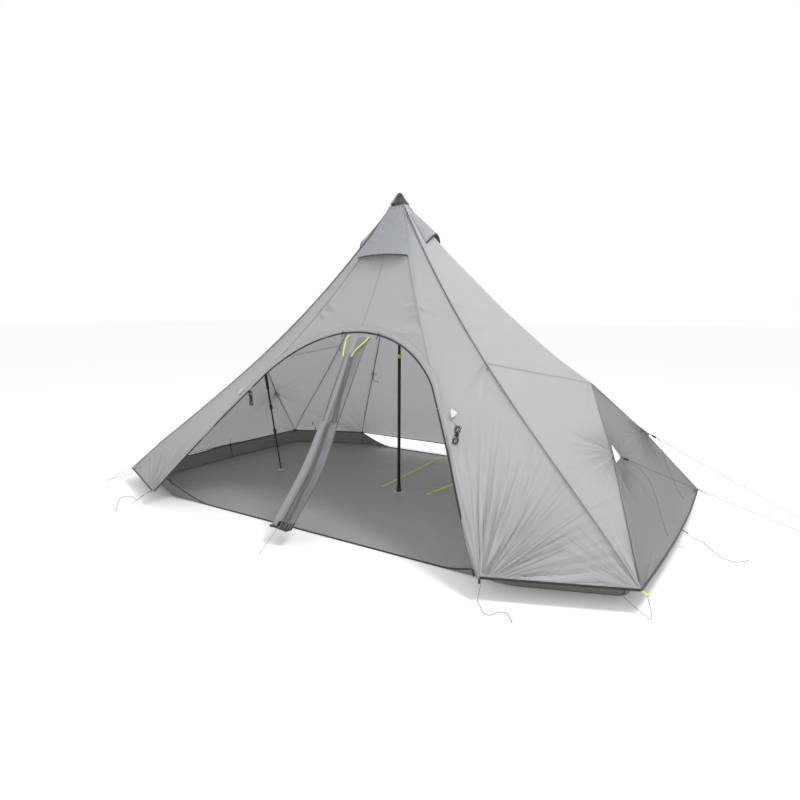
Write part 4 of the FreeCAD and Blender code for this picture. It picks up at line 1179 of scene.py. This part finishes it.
for y, which in ((-1, "front"), (1, "back")):
    sheet = hood_sheet(y)
    hood = Shape().grid(sheet, flip=not faces_out(sheet))
    piece = hood.build("vent_hood_" + which + "_cloth", which + "_hood", "hood_cloth", "hood",
                       ["vent_hood_" + which], thick=0.0016, sharp=60)
    rim = Shape()
    lower, above_it = sheet[-1], sheet[-4]
    binding(rim, lower, above_it - lower, np.repeat([(0, y * 0.87, 0.49)], len(lower), axis=0), 0.010)
    middle = sheet[:, HOOD_COLUMNS // 2]
    rim.build("vent_hood_" + which + "_rim", which + "_hood", "black_webbing", "black_tape", sharp=60)
    stitched = Shape()
    ribbon(stitched, middle, (0, y * 0.87, 0.49), 0.007, 0.0006, 0.0002)
    for column in (0, -1):
        side_line = sheet[:, column]
        ribbon(stitched, side_line, (0, y * 0.87, 0.49), 0.007, 0.0007)
    stitched.build("vent_hood_" + which + "_seam", which + "_hood", "hood_cloth", "seam")
    declare_panel(piece, [sheet])

# The small vents on the crown lines, one each side of the cap.
VENT_TOP_ROW, VENT_LOW_ROW, VENT_REACH, VENT_LIFT = 8, 27, 0.72, 0.026
for x, sheet in TOP_SHEETS.items():
    normals = surface_normals(sheet)
    half = sheet.shape[1] // 2
    first, last = int(half * (1 - VENT_REACH)), int(half * (1 + VENT_REACH)) + 1
    rows = []
    for v in np.linspace(0, 1, 22):
        at = VENT_TOP_ROW + (VENT_LOW_ROW - VENT_TOP_ROW) * v
        low = int(at)
        part = at - low
        base = sheet[low, first:last] * (1 - part) + sheet[low + 1, first:last] * part
        t = np.linspace(-1, 1, last - first)
        lift = VENT_LIFT * v ** 0.8 * (1 - np.abs(t) ** 2.2) + 0.0025
        rows.append(base + normals[low, first:last] * lift[:, None])
    rows = np.array(rows)
    vent = Shape().grid(rows, flip=not faces_out(rows))
    vent.build("side_vent_" + SIDE_NAMES[x], SHELTER, "hood_cloth", "hood", thick=0.0014, sharp=60)
    rim = Shape()
    binding(rim, rows[-1], rows[-3] - rows[-1], normals[VENT_LOW_ROW, first:last], 0.010)
    rim.build("side_vent_rim_" + SIDE_NAMES[x], SHELTER, "black_webbing", "black_tape", sharp=60)

# ---------------------------------------------------------------- tub floor
FLOOR_CORNERS = [(1.400, -1.070), (1.940, -0.860), (1.985, 0.040), (1.960, 0.930), (1.290, 1.245)]
WALL_HEIGHT, WALL_LEAN = 0.120, 1.014
FRONT_DIP, BACK_DIP = 0.980, 0.900
FLOOR_TOP, FLOOR_FLAT = 0.0028, (2.34, 3.98)
FRONT_LINE, BACK_LINE = -0.855, 0.925      # beyond these the wall is lowered beside the doors
FLOOR_SHRINK = 0.9985


def floor_outline(count):
    """The floor's edge, once round, with slightly rounded corners."""
    right_half = [np.array(p) for p in FLOOR_CORNERS]
    loop = right_half + [p * (-1, 1) for p in reversed(right_half)]
    points = []
    for i, corner in enumerate(loop):
        before, after = loop[i - 1], loop[(i + 1) % len(loop)]
        a = corner + unit(before - corner) * 0.05
        b = corner + unit(after - corner) * 0.05
        for share in np.linspace(0, 1, 7):
            points.append(a * (1 - share) ** 2 + corner * 2 * share * (1 - share) + b * share ** 2)
    points.append(points[0])
    return resample(np.array(points), count + 1)


FLOOR_POINTS = 420
edge_path = floor_outline(FLOOR_POINTS)


def poured(points, seed):
    """Soft creases of a laid floor sheet, flat where the poles stand."""
    lift = 0.0012 * drift(points, seed, 0.35) + 0.0008 * drift(points, seed + 1, 0.12)
    rng = np.random.default_rng(seed)
    for _ in range(26):
        start = np.array((rng.uniform(-1.7, 1.7), rng.uniform(-0.95, 0.95), FLOOR_TOP))
        turn = rng.uniform(0, math.pi)
        run = np.array((math.cos(turn), math.sin(turn), 0)) * rng.uniform(0.3, 0.9)
        lift = lift + crease(points, start, start + run, 0.0035, 0.012)
    for pole in ((0, 0), (-1.25, -0.04), (1.25, -0.04)):
        lift = lift * ease(np.hypot(points[..., 0] - pole[0], points[..., 1] - pole[1]) - 0.05, 0.2)
    return lift


rings = np.linspace(0, 1, 90)[:, None, None]
flat_floor = edge_path[None] * rings * FLOOR_SHRINK
floor_points = np.concatenate([flat_floor, np.full(flat_floor.shape[:2] + (1,), FLOOR_TOP)], axis=-1)
lift = poured(floor_points, 81) * ease(1 - rings[..., 0], 0.03)
floor_points[..., 2] += np.clip(lift, -0.0018, 0.0010)
floor = Shape().grid(floor_points[:, :-1], flip=True, wrap=True)
floor.places = [(p[0], p[1]) for p in floor.points]
floor_piece = floor.build("floor_cloth", SHELTER, "floor_cloth", "floor", ["floor_sheet"], 1e-5,
                          thick=0.0009)


def wall_height(points):
    """The wall stands all round the ends and runs out to nothing beside the two doors."""
    x, y = np.abs(points[:, 0]), points[:, 1]
    front = np.clip((x - FRONT_DIP) / (FLOOR_CORNERS[0][0] - FRONT_DIP), 0, 1) ** 1.5
    back = np.clip((x - BACK_DIP) / (FLOOR_CORNERS[-1][0] - BACK_DIP), 0, 1) ** 1.5
    front = np.where(x < FLOOR_CORNERS[0][0], front, 1)
    back = np.where(x < FLOOR_CORNERS[-1][0], back, 1)
    return WALL_HEIGHT * np.where(y < FRONT_LINE, front, np.where(y > BACK_LINE, back, 1))


def wall_rows(rows=11):
    heights = wall_height(edge_path)
    v = np.linspace(0, 1, rows)[:, None]
    lean = 1 + (WALL_LEAN - 1) * v * (heights / WALL_HEIGHT)[None]
    outline = edge_path[None] * lean[..., None]
    z = np.maximum(v * heights[None], 0.0015 * v) + 0.0004
    points = np.concatenate([outline, z[..., None]], axis=-1)
    way = unit(np.concatenate([edge_path, np.zeros((len(edge_path), 1))], axis=1))
    bend = 0.009 * drift(points, 82, 0.22) + 0.006 * drift(points, 83, 0.09)
    slack = np.sin(np.pi * np.clip(v, 0, 1)) ** 0.8 * np.minimum(1, heights / WALL_HEIGHT)[None]
    points += way[None] * (-np.abs(bend) * slack)[..., None]
    points[-1, :, 2] += 0.003 * drift(points[-1], 84, 0.3) * (heights / WALL_HEIGHT)
    points[:, -1] = points[:, 0]
    return points


walls_grid = wall_rows()
wall_shape = Shape().grid(walls_grid, flip=True)
wall_piece = wall_shape.build("floor_wall_cloth", SHELTER, "wall_cloth", "wall", ["floor_walls"], 1e-5,
                              thick=0.0009, sharp=60)

PIPING_RADIUS = 0.0048
piping = Shape()
tube(piping, walls_grid[-1] + (0, 0, 0.0025), PIPING_RADIUS, 8)
piping.build("wall_piping_cord", SHELTER, "black_webbing", "black_tape", ["wall_piping"], sharp=60)

# Hooks and their elastic loops at the wall's corners.
hooks = Shape()
for corner_x, corner_y in FLOOR_CORNERS:
    for x in (-1, 1):
        foot = np.array((x * corner_x * WALL_LEAN, corner_y * WALL_LEAN, WALL_HEIGHT))
        inward = unit(np.array((-foot[0], -foot[1], 0.0)))
        across = np.cross(inward, (0, 0, 1.0))
        centre = foot + inward * 0.014
        block(hooks, centre + (0, 0, 0.001), across, inward, (0.010, 0.0045, 0.013))
        turn = np.linspace(-0.35 * math.pi, 1.15 * math.pi, 15)
        loop = [centre + across * math.cos(a) * 0.0045 + np.array((0, 0, 0.0135 + 0.0055 * math.sin(a)))
                for a in turn]
        tube(hooks, loop, 0.0012, 8)
        stem = [foot + inward * 0.002 - (0, 0, 0.035), foot + inward * 0.004 - (0, 0, 0.014),
                centre - (0, 0, 0.003)]
        stem = smooth_path(stem, 9)
        ribbon(hooks, stem, -inward, 0.009, 0.0011, 0.001)
        foot_line = between(foot + inward * 0.006, (x * corner_x, corner_y, 0.004) + inward * 0.012, 12)
        ribbon(hooks, foot_line, inward, 0.006, 0.0010, 0.001)
hooks.build("wall_hook_clips", SHELTER, "black_plastic", "black_plastic", ["wall_hooks"], sharp=40)

# Small cord loops inside: one at each guy-out corner, and one with a hanging hook on each rear ridge.
LOOP_SHARE, LOOP_REACH, LOOP_CORD = 0.62, 0.030, 0.0018
loops = Shape()
for x, y in SIDES:
    guy = guy_corner(x, y) * (0.985, 0.96, 0.995)
    triangle = [guy, guy + (-x * LOOP_REACH * 1.4, 0, -0.012), guy + (-x * 0.012, 0, -LOOP_REACH * 1.5), guy]
    tube(loops, resample(np.array(triangle), 40), LOOP_CORD, 8)
for x in (-1, 1):
    anchor = front_ridge(LOOP_SHARE, x, 1) * (0.985, 0.985, 0.985)
    for way in (-1, 1):
        bow = [anchor, anchor + (way * LOOP_REACH * 0.7, 0, 0.012), anchor + (way * LOOP_REACH, 0, -0.004),
               anchor + (way * LOOP_REACH * 0.5, 0, -0.014), anchor]
        tube(loops, smooth_path(bow, 26), LOOP_CORD, 8)
    hook = [anchor + (0, 0, -0.005), anchor + (0.010, -0.02, -0.040), anchor + (0.028, -0.02, -0.072),
            anchor + (0.058, -0.02, -0.066), anchor + (0.066, -0.02, -0.084)]
    tube(loops, smooth_path(hook, 30), LOOP_CORD * 1.3, 8)
# Elastic from the wall's half-way corner up to a tab on the end wall.
for x in (-1, 1):
    low = np.array((x * FLOOR_CORNERS[2][0] * WALL_LEAN, FLOOR_CORNERS[2][1], WALL_HEIGHT))
    elastic = smooth_path([low, low + (-x * 0.010, 0, 0.035), low + (-x * 0.016, 0, 0.068)], 14)
    tube(loops, elastic, LOOP_CORD, 8)
loops.build("inner_loops", SHELTER, "black_webbing", "black_tape", sharp=60)

# Green straps on the floor, sewn down at both ends.
STRAPS = [((-0.180, 0.030), (-0.255, 1.180)), ((0.235, 0.045), (0.285, 0.560))]
STRAP_WIDTH, STRAP_THICK = 0.022, 0.0012
for i, (start, end) in enumerate(STRAPS):
    line = between((*start, FLOOR_TOP), (*end, FLOOR_TOP), 90)
    line[:, 0] += 0.004 * np.sin(np.linspace(0, 5, 90)) * np.sin(np.linspace(0, math.pi, 90))
    line[:, 2] += 0.0014
    strap = Shape()
    ribbon(strap, line, (0, 0, 1), STRAP_WIDTH, STRAP_THICK, 0.0004)
    piece = strap.build("floor_strap_%d" % (i + 1), SHELTER, "green_webbing", "green_tape", ["floor_straps"],
                        sharp=50)
    length = float(steps(line).sum())

# Round patches of thicker cloth under the three poles.
patches = Shape()
for pole_x, pole_y, reach in ((0, 0, 0.036), (-1.25, -0.04, 0.026), (1.25, -0.04, 0.026)):
    lathe(patches, (pole_x, pole_y, 0), (0, 0, 1), [
        (FLOOR_TOP - 0.0004, 0.0), (FLOOR_TOP - 0.0004, reach), (FLOOR_TOP + 0.0003, reach),
        (FLOOR_TOP + 0.0005, reach - 0.003), (FLOOR_TOP + 0.0005, 0.0)], 40)
patches.build("pole_patches", SHELTER, "white_patch", "white_tape", sharp=30)

# ---------------------------------------------------------------- gathered door
# Centre line of the gathered cloth with its half-widths, from under the arch's crown to the hem.
BUNDLE = [((0.026, -0.545, 1.252), 0.104, 0.012), ((0.034, -0.606, 1.160), 0.076, 0.022),
          ((0.050, -0.912, 0.705), 0.076, 0.030), ((0.052, -1.092, 0.425), 0.088, 0.031),
          ((-0.024, -1.298, 0.096), 0.088, 0.026)]
DOOR_ROWS, PLEATS, PLEAT_STEPS, WRAP_STEPS = 120, 19, 10, 60
bundle_table = np.array([(*centre, a, b) for centre, a, b in BUNDLE])
bundle_path = smooth_path(bundle_table, DOOR_ROWS)


def bundle_row(k):
    """One level of the gathered cloth: pleats at the back, then a wide fold round to the front."""
    centre, half, depth = bundle_path[k, :3], bundle_path[k, 3] * 0.96, bundle_path[k, 4] * 0.96
    v = k / (DOOR_ROWS - 1)
    n = PLEATS * PLEAT_STEPS
    w = np.linspace(0, 1, n)
    phase = w * PLEATS * math.tau + 1.3 * math.sin(5 * v) * np.sin(3 * w * math.pi)
    wave = np.sin(phase)
    wave = np.sign(wave) * np.abs(wave) ** 0.7
    sway = 0.10 * np.sin(7 * v + 5 * w) + 0.06 * np.sin(15 * v + 11 * w)
    x = half * (0.93 - 1.84 * w) + half * 0.06 * np.cos(phase + 0.6) + 0.02 * half * sway
    dome = np.sqrt(np.clip(1 - (x / half) ** 2, 0.03, 1))
    front = np.where(x > 0.10 * half, -0.92, -0.92 + 0.75 * ease((0.10 * half - x) / half, 0.35))
    back = 0.94
    y = depth * dome * ((back + front) / 2 + (back - front) / 2 * (wave + 0.25 * sway))
    turn = np.linspace(0.02, 1, WRAP_STEPS)
    angle = math.pi * (0.62 + 0.84 * turn)
    reach = 1.0 + 0.02 * np.sin(9 * v + 4 * turn)
    tuck = ease(turn - 0.90, 0.10)
    wrap_x = half * np.cos(angle) * reach * 0.985
    wrap_y = -depth * np.sin(angle - math.pi) * 0.985
    wrap_y = np.where(turn < 0.45, depth * np.sin(angle) * 0.985, wrap_y)
    wrap_x = wrap_x + half * 0.06 * math.sin(6 * v) * turn
    wrap_y = wrap_y + depth * 0.75 * tuck
    shape = np.stack([np.concatenate([x, wrap_x]), np.concatenate([y, wrap_y])], axis=1)
    return np.concatenate([centre[:2] + shape, np.full((len(shape), 1), centre[2])], axis=1)


door_points = np.array([bundle_row(k) for k in range(DOOR_ROWS)])
door_shape = Shape().grid(door_points)
door_piece = door_shape.build("door_cloth", "door", "fly_cloth", "door", ["gathered_door"], sharp=70,
                              thick=0.0008)

# The door's bound bottom edge, and the zip tapes that run down its front.
rows = door_points[-5:].copy()
hem_shape = Shape().grid(rows + (0, 0, -0.001))
HEM_ROLL = 0.0078
foot = bundle_path[-1]
turn = np.linspace(-0.97 * math.pi, -0.03 * math.pi, 60)
roll = np.stack([foot[0] + foot[3] * 1.01 * np.cos(turn),
                 foot[1] + foot[4] * (1.18 + 0.12 * np.sin(7 * turn)) * np.sin(turn),
                 foot[2] + 0.007 + 0.004 * np.sin(3 * turn + 1)], axis=1)
tube(hem_shape, roll, HEM_ROLL * (0.75 + 0.25 * np.sin(5 * turn)), 10)
hem_piece = hem_shape.build("door_hem", "door", "black_webbing", "black_tape", sharp=70, thick=0.0022)
hem_piece.modifiers["cloth"].offset = 0


def bundle_front(across, v):
    """A point just in front of the bundle, across from -1 to 1 and down from 0 to 1."""
    k = np.clip(v * (DOOR_ROWS - 1), 0, DOOR_ROWS - 1.001)
    low = int(k)
    row = bundle_path[low] * (1 - (k - low)) + bundle_path[low + 1] * (k - low)
    swell = math.sqrt(max(0.05, 1 - across * across))
    return row[:3] + (row[3] * across, -row[4] * swell - 0.0015, 0)


# Each tape's place across the bundle, at its upper end and its lower end, and how far down those are.
ZIPS = [(-0.90, -0.50, 0.10, 0.47), (-0.22, 0.62, 0.10, 0.47), (0.16, 0.88, 0.10, 0.47),
        (0.10, 0.05, 0.47, 0.99), (0.34, 0.42, 0.46, 0.99)]
ZIP_WIDTH, ZIP_STEPS = 0.009, 70
zips = Shape()
for first, last, high, low in ZIPS:
    across = first + (last - first) * np.linspace(0, 1, ZIP_STEPS) ** 1.2
    across += (0.06 * np.sin(np.linspace(0, 6, ZIP_STEPS) + 5 * first)
               * np.sin(np.linspace(0, math.pi, ZIP_STEPS)))
    down = np.linspace(high, low, ZIP_STEPS)
    line = np.array([bundle_front(a, v) for a, v in zip(across, down)])
    ahead = -np.sqrt(np.clip(1 - across ** 2, 0.05, 1))
    out = np.stack([across * 0.6, ahead, np.full(ZIP_STEPS, 0.45)], axis=1)
    ribbon(zips, line, out, ZIP_WIDTH, 0.0012, 0.0006)
zip_piece = zips.build("door_zip_tapes", "door", "black_webbing", "grey_tape", sharp=50)

# Green straps that tie the door up, and two toggles on a loop further down.
straps = Shape()
for route in ([(-0.052, -0.560, 1.262), (-0.064, -0.580, 1.236), (-0.060, -0.598, 1.205),
               (-0.046, -0.632, 1.160),
               (-0.028, -0.662, 1.124)],
              [(0.122, -0.568, 1.255), (0.112, -0.592, 1.228), (0.086, -0.612, 1.200),
               (0.058, -0.636, 1.165),
               (0.044, -0.664, 1.124)]):
    line = smooth_path(route, 40)
    ribbon(straps, line, (0, -0.80, 0.60), 0.011, 0.0012)
straps.build("door_straps", "door", "green_webbing", "green_tape", ["door_ties"], sharp=50)
toggles = Shape()
TOGGLE_ENDS = (((-0.050, -0.956, 0.712), (-0.046, -0.966, 0.690)),
               ((-0.014, -0.972, 0.684), (-0.010, -0.982, 0.662)))
for top, low in TOGGLE_ENDS:
    top, low = np.array(top), np.array(low)
    lathe(toggles, top, low - top, [(0, 0), (0, 0.0022), (0.002, 0.0034), (0.008, 0.0028), (0.012, 0.0024),
                                    (0.016, 0.0028), (0.022, 0.0034), (0.024, 0.0022), (0.024, 0)], 16)
    tube(toggles, smooth_path([(top + low) / 2 + (0.004, 0.006, 0.002), (top + low) / 2 + (0, -0.004, 0.001),
                               (top + low) / 2 + (-0.004, 0.006, 0)], 9), 0.0011, 8)
toggles.build("door_toggles", "door", "black_plastic", "black_plastic", sharp=40)

# ---------------------------------------------------------------- patches, tabs, tensioners
patches = Shape()


def patch(shape, corners, thick=0.0022):
    """A small sewn triangle with rounded corners, on its own plane."""
    corners = np.array(corners, float)
    normal = unit(np.cross(corners[1] - corners[0], corners[2] - corners[0]))
    if np.dot(normal, corners[0] - HEART) < 0:
        normal = -normal
    middle = corners.mean(axis=0)
    loop = []
    for i, corner in enumerate(corners):
        a, b = (corner * 0.82 + corners[j % 3] * 0.18 for j in (i - 1, i + 1))
        loop += [a * (1 - t) ** 2 + corner * 2 * t * (1 - t) + b * t ** 2 for t in np.linspace(0, 1, 6)]
    loop = np.array(loop)
    levels = [(1.0, 0.0), (1.0, thick * 0.7), (0.94, thick), (0.80, thick * 0.8), (0.70, thick),
              (0.01, thick * 1.1)]
    rows = [middle + (loop - middle) * k + normal * h for k, h in levels]
    rows = [middle + (loop - middle) * 0.01] + rows
    shape.grid(np.array(rows), wrap=True)
    return shape


for side, (x, y) in SIGNS.items():
    start = guy_corner(x, y)
    route = guyline_route(side)
    way = np.array((route[1] - route[0]).normalized())
    lift = away(start[None])[0] * 0.004
    up = start + (crown_point(1, x) - start) * 0.13
    down = start + (side_ridge(1, x, y) - start) * 0.08
    patch(patches, [up + lift, down + lift, start + way * 0.046])
for x in (-1, 1):
    spots = [np.array((x * a, b, c)) for a, b, c in ((0.872, -0.776, 0.858), (0.918, -0.772, 0.832),
                                                      (0.902, -0.816, 0.806))]
    patch(patches, [spot + np.array((x * 0.35, -0.8, 0.49)) * 0.008 for spot in spots])
patches.build("cloth_patches", SHELTER, "white_patch", "white_tape", ["guy_patches"], sharp=40)

# Clips and rings where the guylines leave their patches, and the lead above each stored guyline.
clips = Shape()
for side, (x, y) in SIGNS.items():
    route = guyline_route(side)
    first = np.array(route[0])
    way = np.array((route[1] - route[0]).normalized())
    across = unit(np.cross(way, (0, 0, 1.0)))
    drop = np.cross(way, across)
    ring = [first - way * 0.004 + way * math.cos(a) * 0.008 + drop * math.sin(a) * 0.006
            for a in np.linspace(0, math.tau, 21)]
    tube(clips, ring[:-1] + [ring[0]], 0.0014, 8)
for x in (-1, 1):
    high = np.array((x * 0.902, -0.822, 0.806))
    low = np.array(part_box("stored_guyline_" + SIDE_NAMES[x])[1])
    target = np.array((x * abs((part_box("stored_guyline_" + SIDE_NAMES[x])[0].x + low[0]) / 2),
                       low[1] - 0.010, low[2] - 0.004))
    line = smooth_path([high, (high + target) / 2 + (0, -0.004, -0.006), target], 16)
    tube(clips, line, 0.0012, 8)
    box_low, box_high = (np.array(corner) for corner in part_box("stored_guyline_" + SIDE_NAMES[x]))
    waist, reach = (box_low + box_high) / 2, (box_high - box_low) / 2
    ring = [waist + (reach[0] * 0.34 * math.cos(a), reach[1] * 0.9 * math.sin(a), 0.002 * math.sin(2 * a))
            for a in np.linspace(0, math.tau, 25)]
    for step in (-0.0035, 0, 0.0035):
        tube(clips, np.array(ring) + (0, 0, step), 0.0018, 8)
clips.build("guy_clips", SHELTER, "black_plastic", "black_plastic", sharp=50)

TAB_LENGTH, TAB_WIDTH, TAB_DROP = 0.036, 0.013, 0.35
tabs = Shape()
neon = Shape()
tab_corners = []
for x, y in SIDES:
    tab_corners += [(front_ridge(1, x, y), (x * 0.447, y * 0.894, 0)), (side_ridge(1, x, y), (x, y * 0.4, 0))]
for x in (-1, 1):
    tab_corners.append((np.array((x * MIDDLE_REACH, 0, HEM)), (x, 0, 0)))
for corner, outward in tab_corners:
    way = unit(unit(np.array(outward, float)) + (0, 0, -TAB_DROP))
    out = unit(np.cross(np.cross(way, (0, 0, 1.0)), way))
    start = corner - way * 0.004
    line = [start + way * d + out * 0.0028 * math.sin(math.pi * d / TAB_LENGTH)
            for d in np.linspace(0, TAB_LENGTH, 12)]
    side_front = corner[0] > 1.5 and corner[1] < -0.5
    ribbon(neon if side_front else tabs, line, out, TAB_WIDTH, 0.0016, -0.0008)
    end = np.array(line[-1])
    across = unit(np.cross(way, out))
    ring = [end + across * math.cos(a) * 0.0058 + way * math.sin(a) * 0.0042
            for a in np.linspace(0, math.tau, 19)]
    tube(tabs, ring, 0.0012, 8)
tabs.build("corner_tab_loops", SHELTER, "black_webbing", "black_tape", ["corner_tabs"], sharp=50)
neon.build("corner_tab_green", SHELTER, "green_webbing", "green_tape", sharp=50)

TENSIONER_START, TENSIONER_LENGTH, TENSIONER_RADIUS = 0.012, 0.032, 0.007
for side in SIGNS:
    route = guyline_route(side)
    way = np.array(SLIDE_WAYS[side])
    base = np.array(route[0]) + way * TENSIONER_START
    outline = [(0, 0.0021), (0, 0.0050), (0.0012, 0.0066), (0.0030, TENSIONER_RADIUS)]
    for rib in range(4):
        at = 0.0060 + rib * 0.0055
        outline += [(at, 0.0068), (at + 0.001, 0.0056), (at + 0.0030, 0.0056), (at + 0.0040, 0.0068)]
    outline += [(0.0290, TENSIONER_RADIUS), (0.0308, 0.0066), (TENSIONER_LENGTH, 0.0050),
                (TENSIONER_LENGTH, 0.0021)]
    body = Shape()
    rings_out = outline + [(TENSIONER_LENGTH, 0.0021), (0, 0.0021)]
    lathe(body, base, way, rings_out, 24)
    body.build("tensioner_" + side + "_body", "slider_" + side, "black_plastic", "black_plastic",
               ["tensioner_" + side], weld=1e-6, sharp=35)

# Knots on the cords' free ends and at the ground.
KNOT_RADIUS = 0.0042


def knot(shape, centre, radius=KNOT_RADIUS, cord_radius=0.0013):
    """A small overhand knot: three turns of cord about a point."""
    centre = np.asarray(centre, float)
    turn = np.linspace(0, 2 * math.tau, 36)
    reach = radius - cord_radius
    path = np.stack([reach * 0.55 * np.cos(turn) * (1 + 0.5 * np.cos(1.5 * turn)),
                     reach * 0.55 * np.sin(turn) * (1 + 0.5 * np.cos(1.5 * turn)),
                     reach * 0.5 * np.sin(1.5 * turn)], axis=1)
    tube(shape, centre + path, cord_radius, 8)
    return shape


tails = {"shelter": Shape(), "slider_right_front": Shape(), "slider_right_rear": Shape()}
for name, (length, far_end, lay, route) in LOOSE.items():
    if far_end == "knot":
        knot(tails[LOOSE_BODIES.get(name, SHELTER)], np.array(route[-1]) + (0, 0, 0.0015))
for side in SIGNS:
    knot(tails[SHELTER], np.array(PEGS[side]), 0.005, 0.0016)
for body, shape in tails.items():
    shape.build("cord_knots_" + body, body, "peg_cord", "peg_cord", sharp=60)

# ---------------------------------------------------------------- poles
def prop_frame(x):
    """Tip and direction of a support pole."""
    base = np.array((x * 1.250, -0.040, 0.0042))
    top = np.array((x * (PEAK_REACH - 0.008), 0, 0.962))
    return base, unit(top - base)


GRIP_LOW, GRIP_LENGTH, GRIP_RADIUS = 0.735, 0.227, 0.014
grips = Shape()
for x in (-1, 1):
    base, way = prop_frame(x)
    outline = [(0, 0.0082), (0, 0.0105), (0.003, 0.0125)]
    outline += [(0.010 + 0.15 * v, 0.0118 + 0.0014 * math.sin(v * 14 * math.pi) ** 2 + 0.0006 * v)
                for v in np.linspace(0, 1, 57)]
    outline += [(0.168, 0.0136), (0.185, GRIP_RADIUS), (0.212, GRIP_RADIUS), (0.222, 0.0115),
                (GRIP_LENGTH, 0.006), (GRIP_LENGTH, 0.0)]
    lathe(grips, base + way * GRIP_LOW, way, outline, 28)
grips.build("support_pole_foam_grips", SHELTER, "black_foam", "black_foam", ["support_pole_grips"], sharp=50)

BASKET_RADIUS = 0.026
for x in (-1, 1):
    base, way = prop_frame(x)
    basket = Shape()
    lathe(basket, base, way, [(0.0502, 0.0062), (0.0502, 0.010), (0.0512, BASKET_RADIUS - 0.003),
                              (0.0505, BASKET_RADIUS), (0.0528, BASKET_RADIUS),
                               (0.0535, BASKET_RADIUS - 0.003),
                              (0.0545, 0.012), (0.0560, 0.0095), (0.0560, 0.0062)], 36)
    side_way = unit(np.cross(way, (0, 1.0, 0)))
    other = np.cross(way, side_way)
    for k in range(8):
        turn = math.tau * k / 8
        spoke = side_way * math.cos(turn) + other * math.sin(turn)
        line = [base + way * 0.0545 + spoke * r for r in np.linspace(0.009, BASKET_RADIUS - 0.002, 6)]
        ribbon(basket, line, way, 0.0022, 0.0010, -0.0008)
    basket.build("basket_" + SIDE_NAMES[x], "pole_lower_" + SIDE_NAMES[x], "black_plastic", "black_plastic",
                 ["pole_basket_" + SIDE_NAMES[x]], sharp=35)

FINISHES = {"main_pole_lower": "tube", "main_pole_upper": "tube", "pole_collar": "green_plastic",
            "pole_foot": "black_rubber", "support_pole_shafts": "tube",
             "upper_lock_collars": "black_plastic",
            "zip_slider_left": "dark_metal", "zip_slider_right": "dark_metal"}
for side in ("left", "right"):
    FINISHES["support_pole_middle_" + side] = FINISHES["support_pole_lower_" + side] = "tube"
    FINISHES["lower_lock_collar_" + side] = "black_plastic"
    FINISHES["upper_lock_lever_" + side] = FINISHES["lower_lock_lever_" + side] = "black_plastic"
for node, material in FINISHES.items():
    for material_slot in frame["nodes"][node].material_slots:
        material_slot.material = MATERIALS[material]

# ---------------------------------------------------------------- stage and light
GROUND_REACH, GROUND_DEPTH = 60.0, -0.0006
ground_mesh = bpy.data.meshes.new("ground")
ground_mesh.from_pydata([(x * GROUND_REACH, y * GROUND_REACH, GROUND_DEPTH)
                         for x, y in ((-1, -1), (1, -1), (1, 1), (-1, 1))], [], [(0, 1, 2, 3)])
ground = bpy.data.objects.new("ground", ground_mesh)
bpy.context.scene.collection.objects.link(ground)
ground_paint = Paint("studio_floor", (0.96, 0.96, 0.96), 1.0, "Object")
ground_mesh.materials.append(ground_paint.material)

world = bpy.data.worlds.new("studio")
world.use_nodes = True
bpy.context.scene.world = world
world.node_tree.nodes["Background"].inputs["Color"].default_value = (1.0, 1.0, 1.0, 1)
world.node_tree.nodes["Background"].inputs["Strength"].default_value = 1.0


def area_light(name, place, target, size, power, colour=(1, 1, 1)):
    data = bpy.data.lights.new(name, "AREA")
    data.shape, data.size, data.energy, data.color = "SQUARE", size, power, colour
    lamp = bpy.data.objects.new(name, data)
    bpy.context.scene.collection.objects.link(lamp)
    lamp.location = place
    lamp.rotation_euler = (Vector(target) - Vector(place)).to_track_quat("-Z", "Y").to_euler()
    return lamp


area_light("key", (3.4, -0.2, 6.4), (0.2, 0, 0.5), 1.4, 200)
bpy.context.scene.view_settings.view_transform = "Standard"
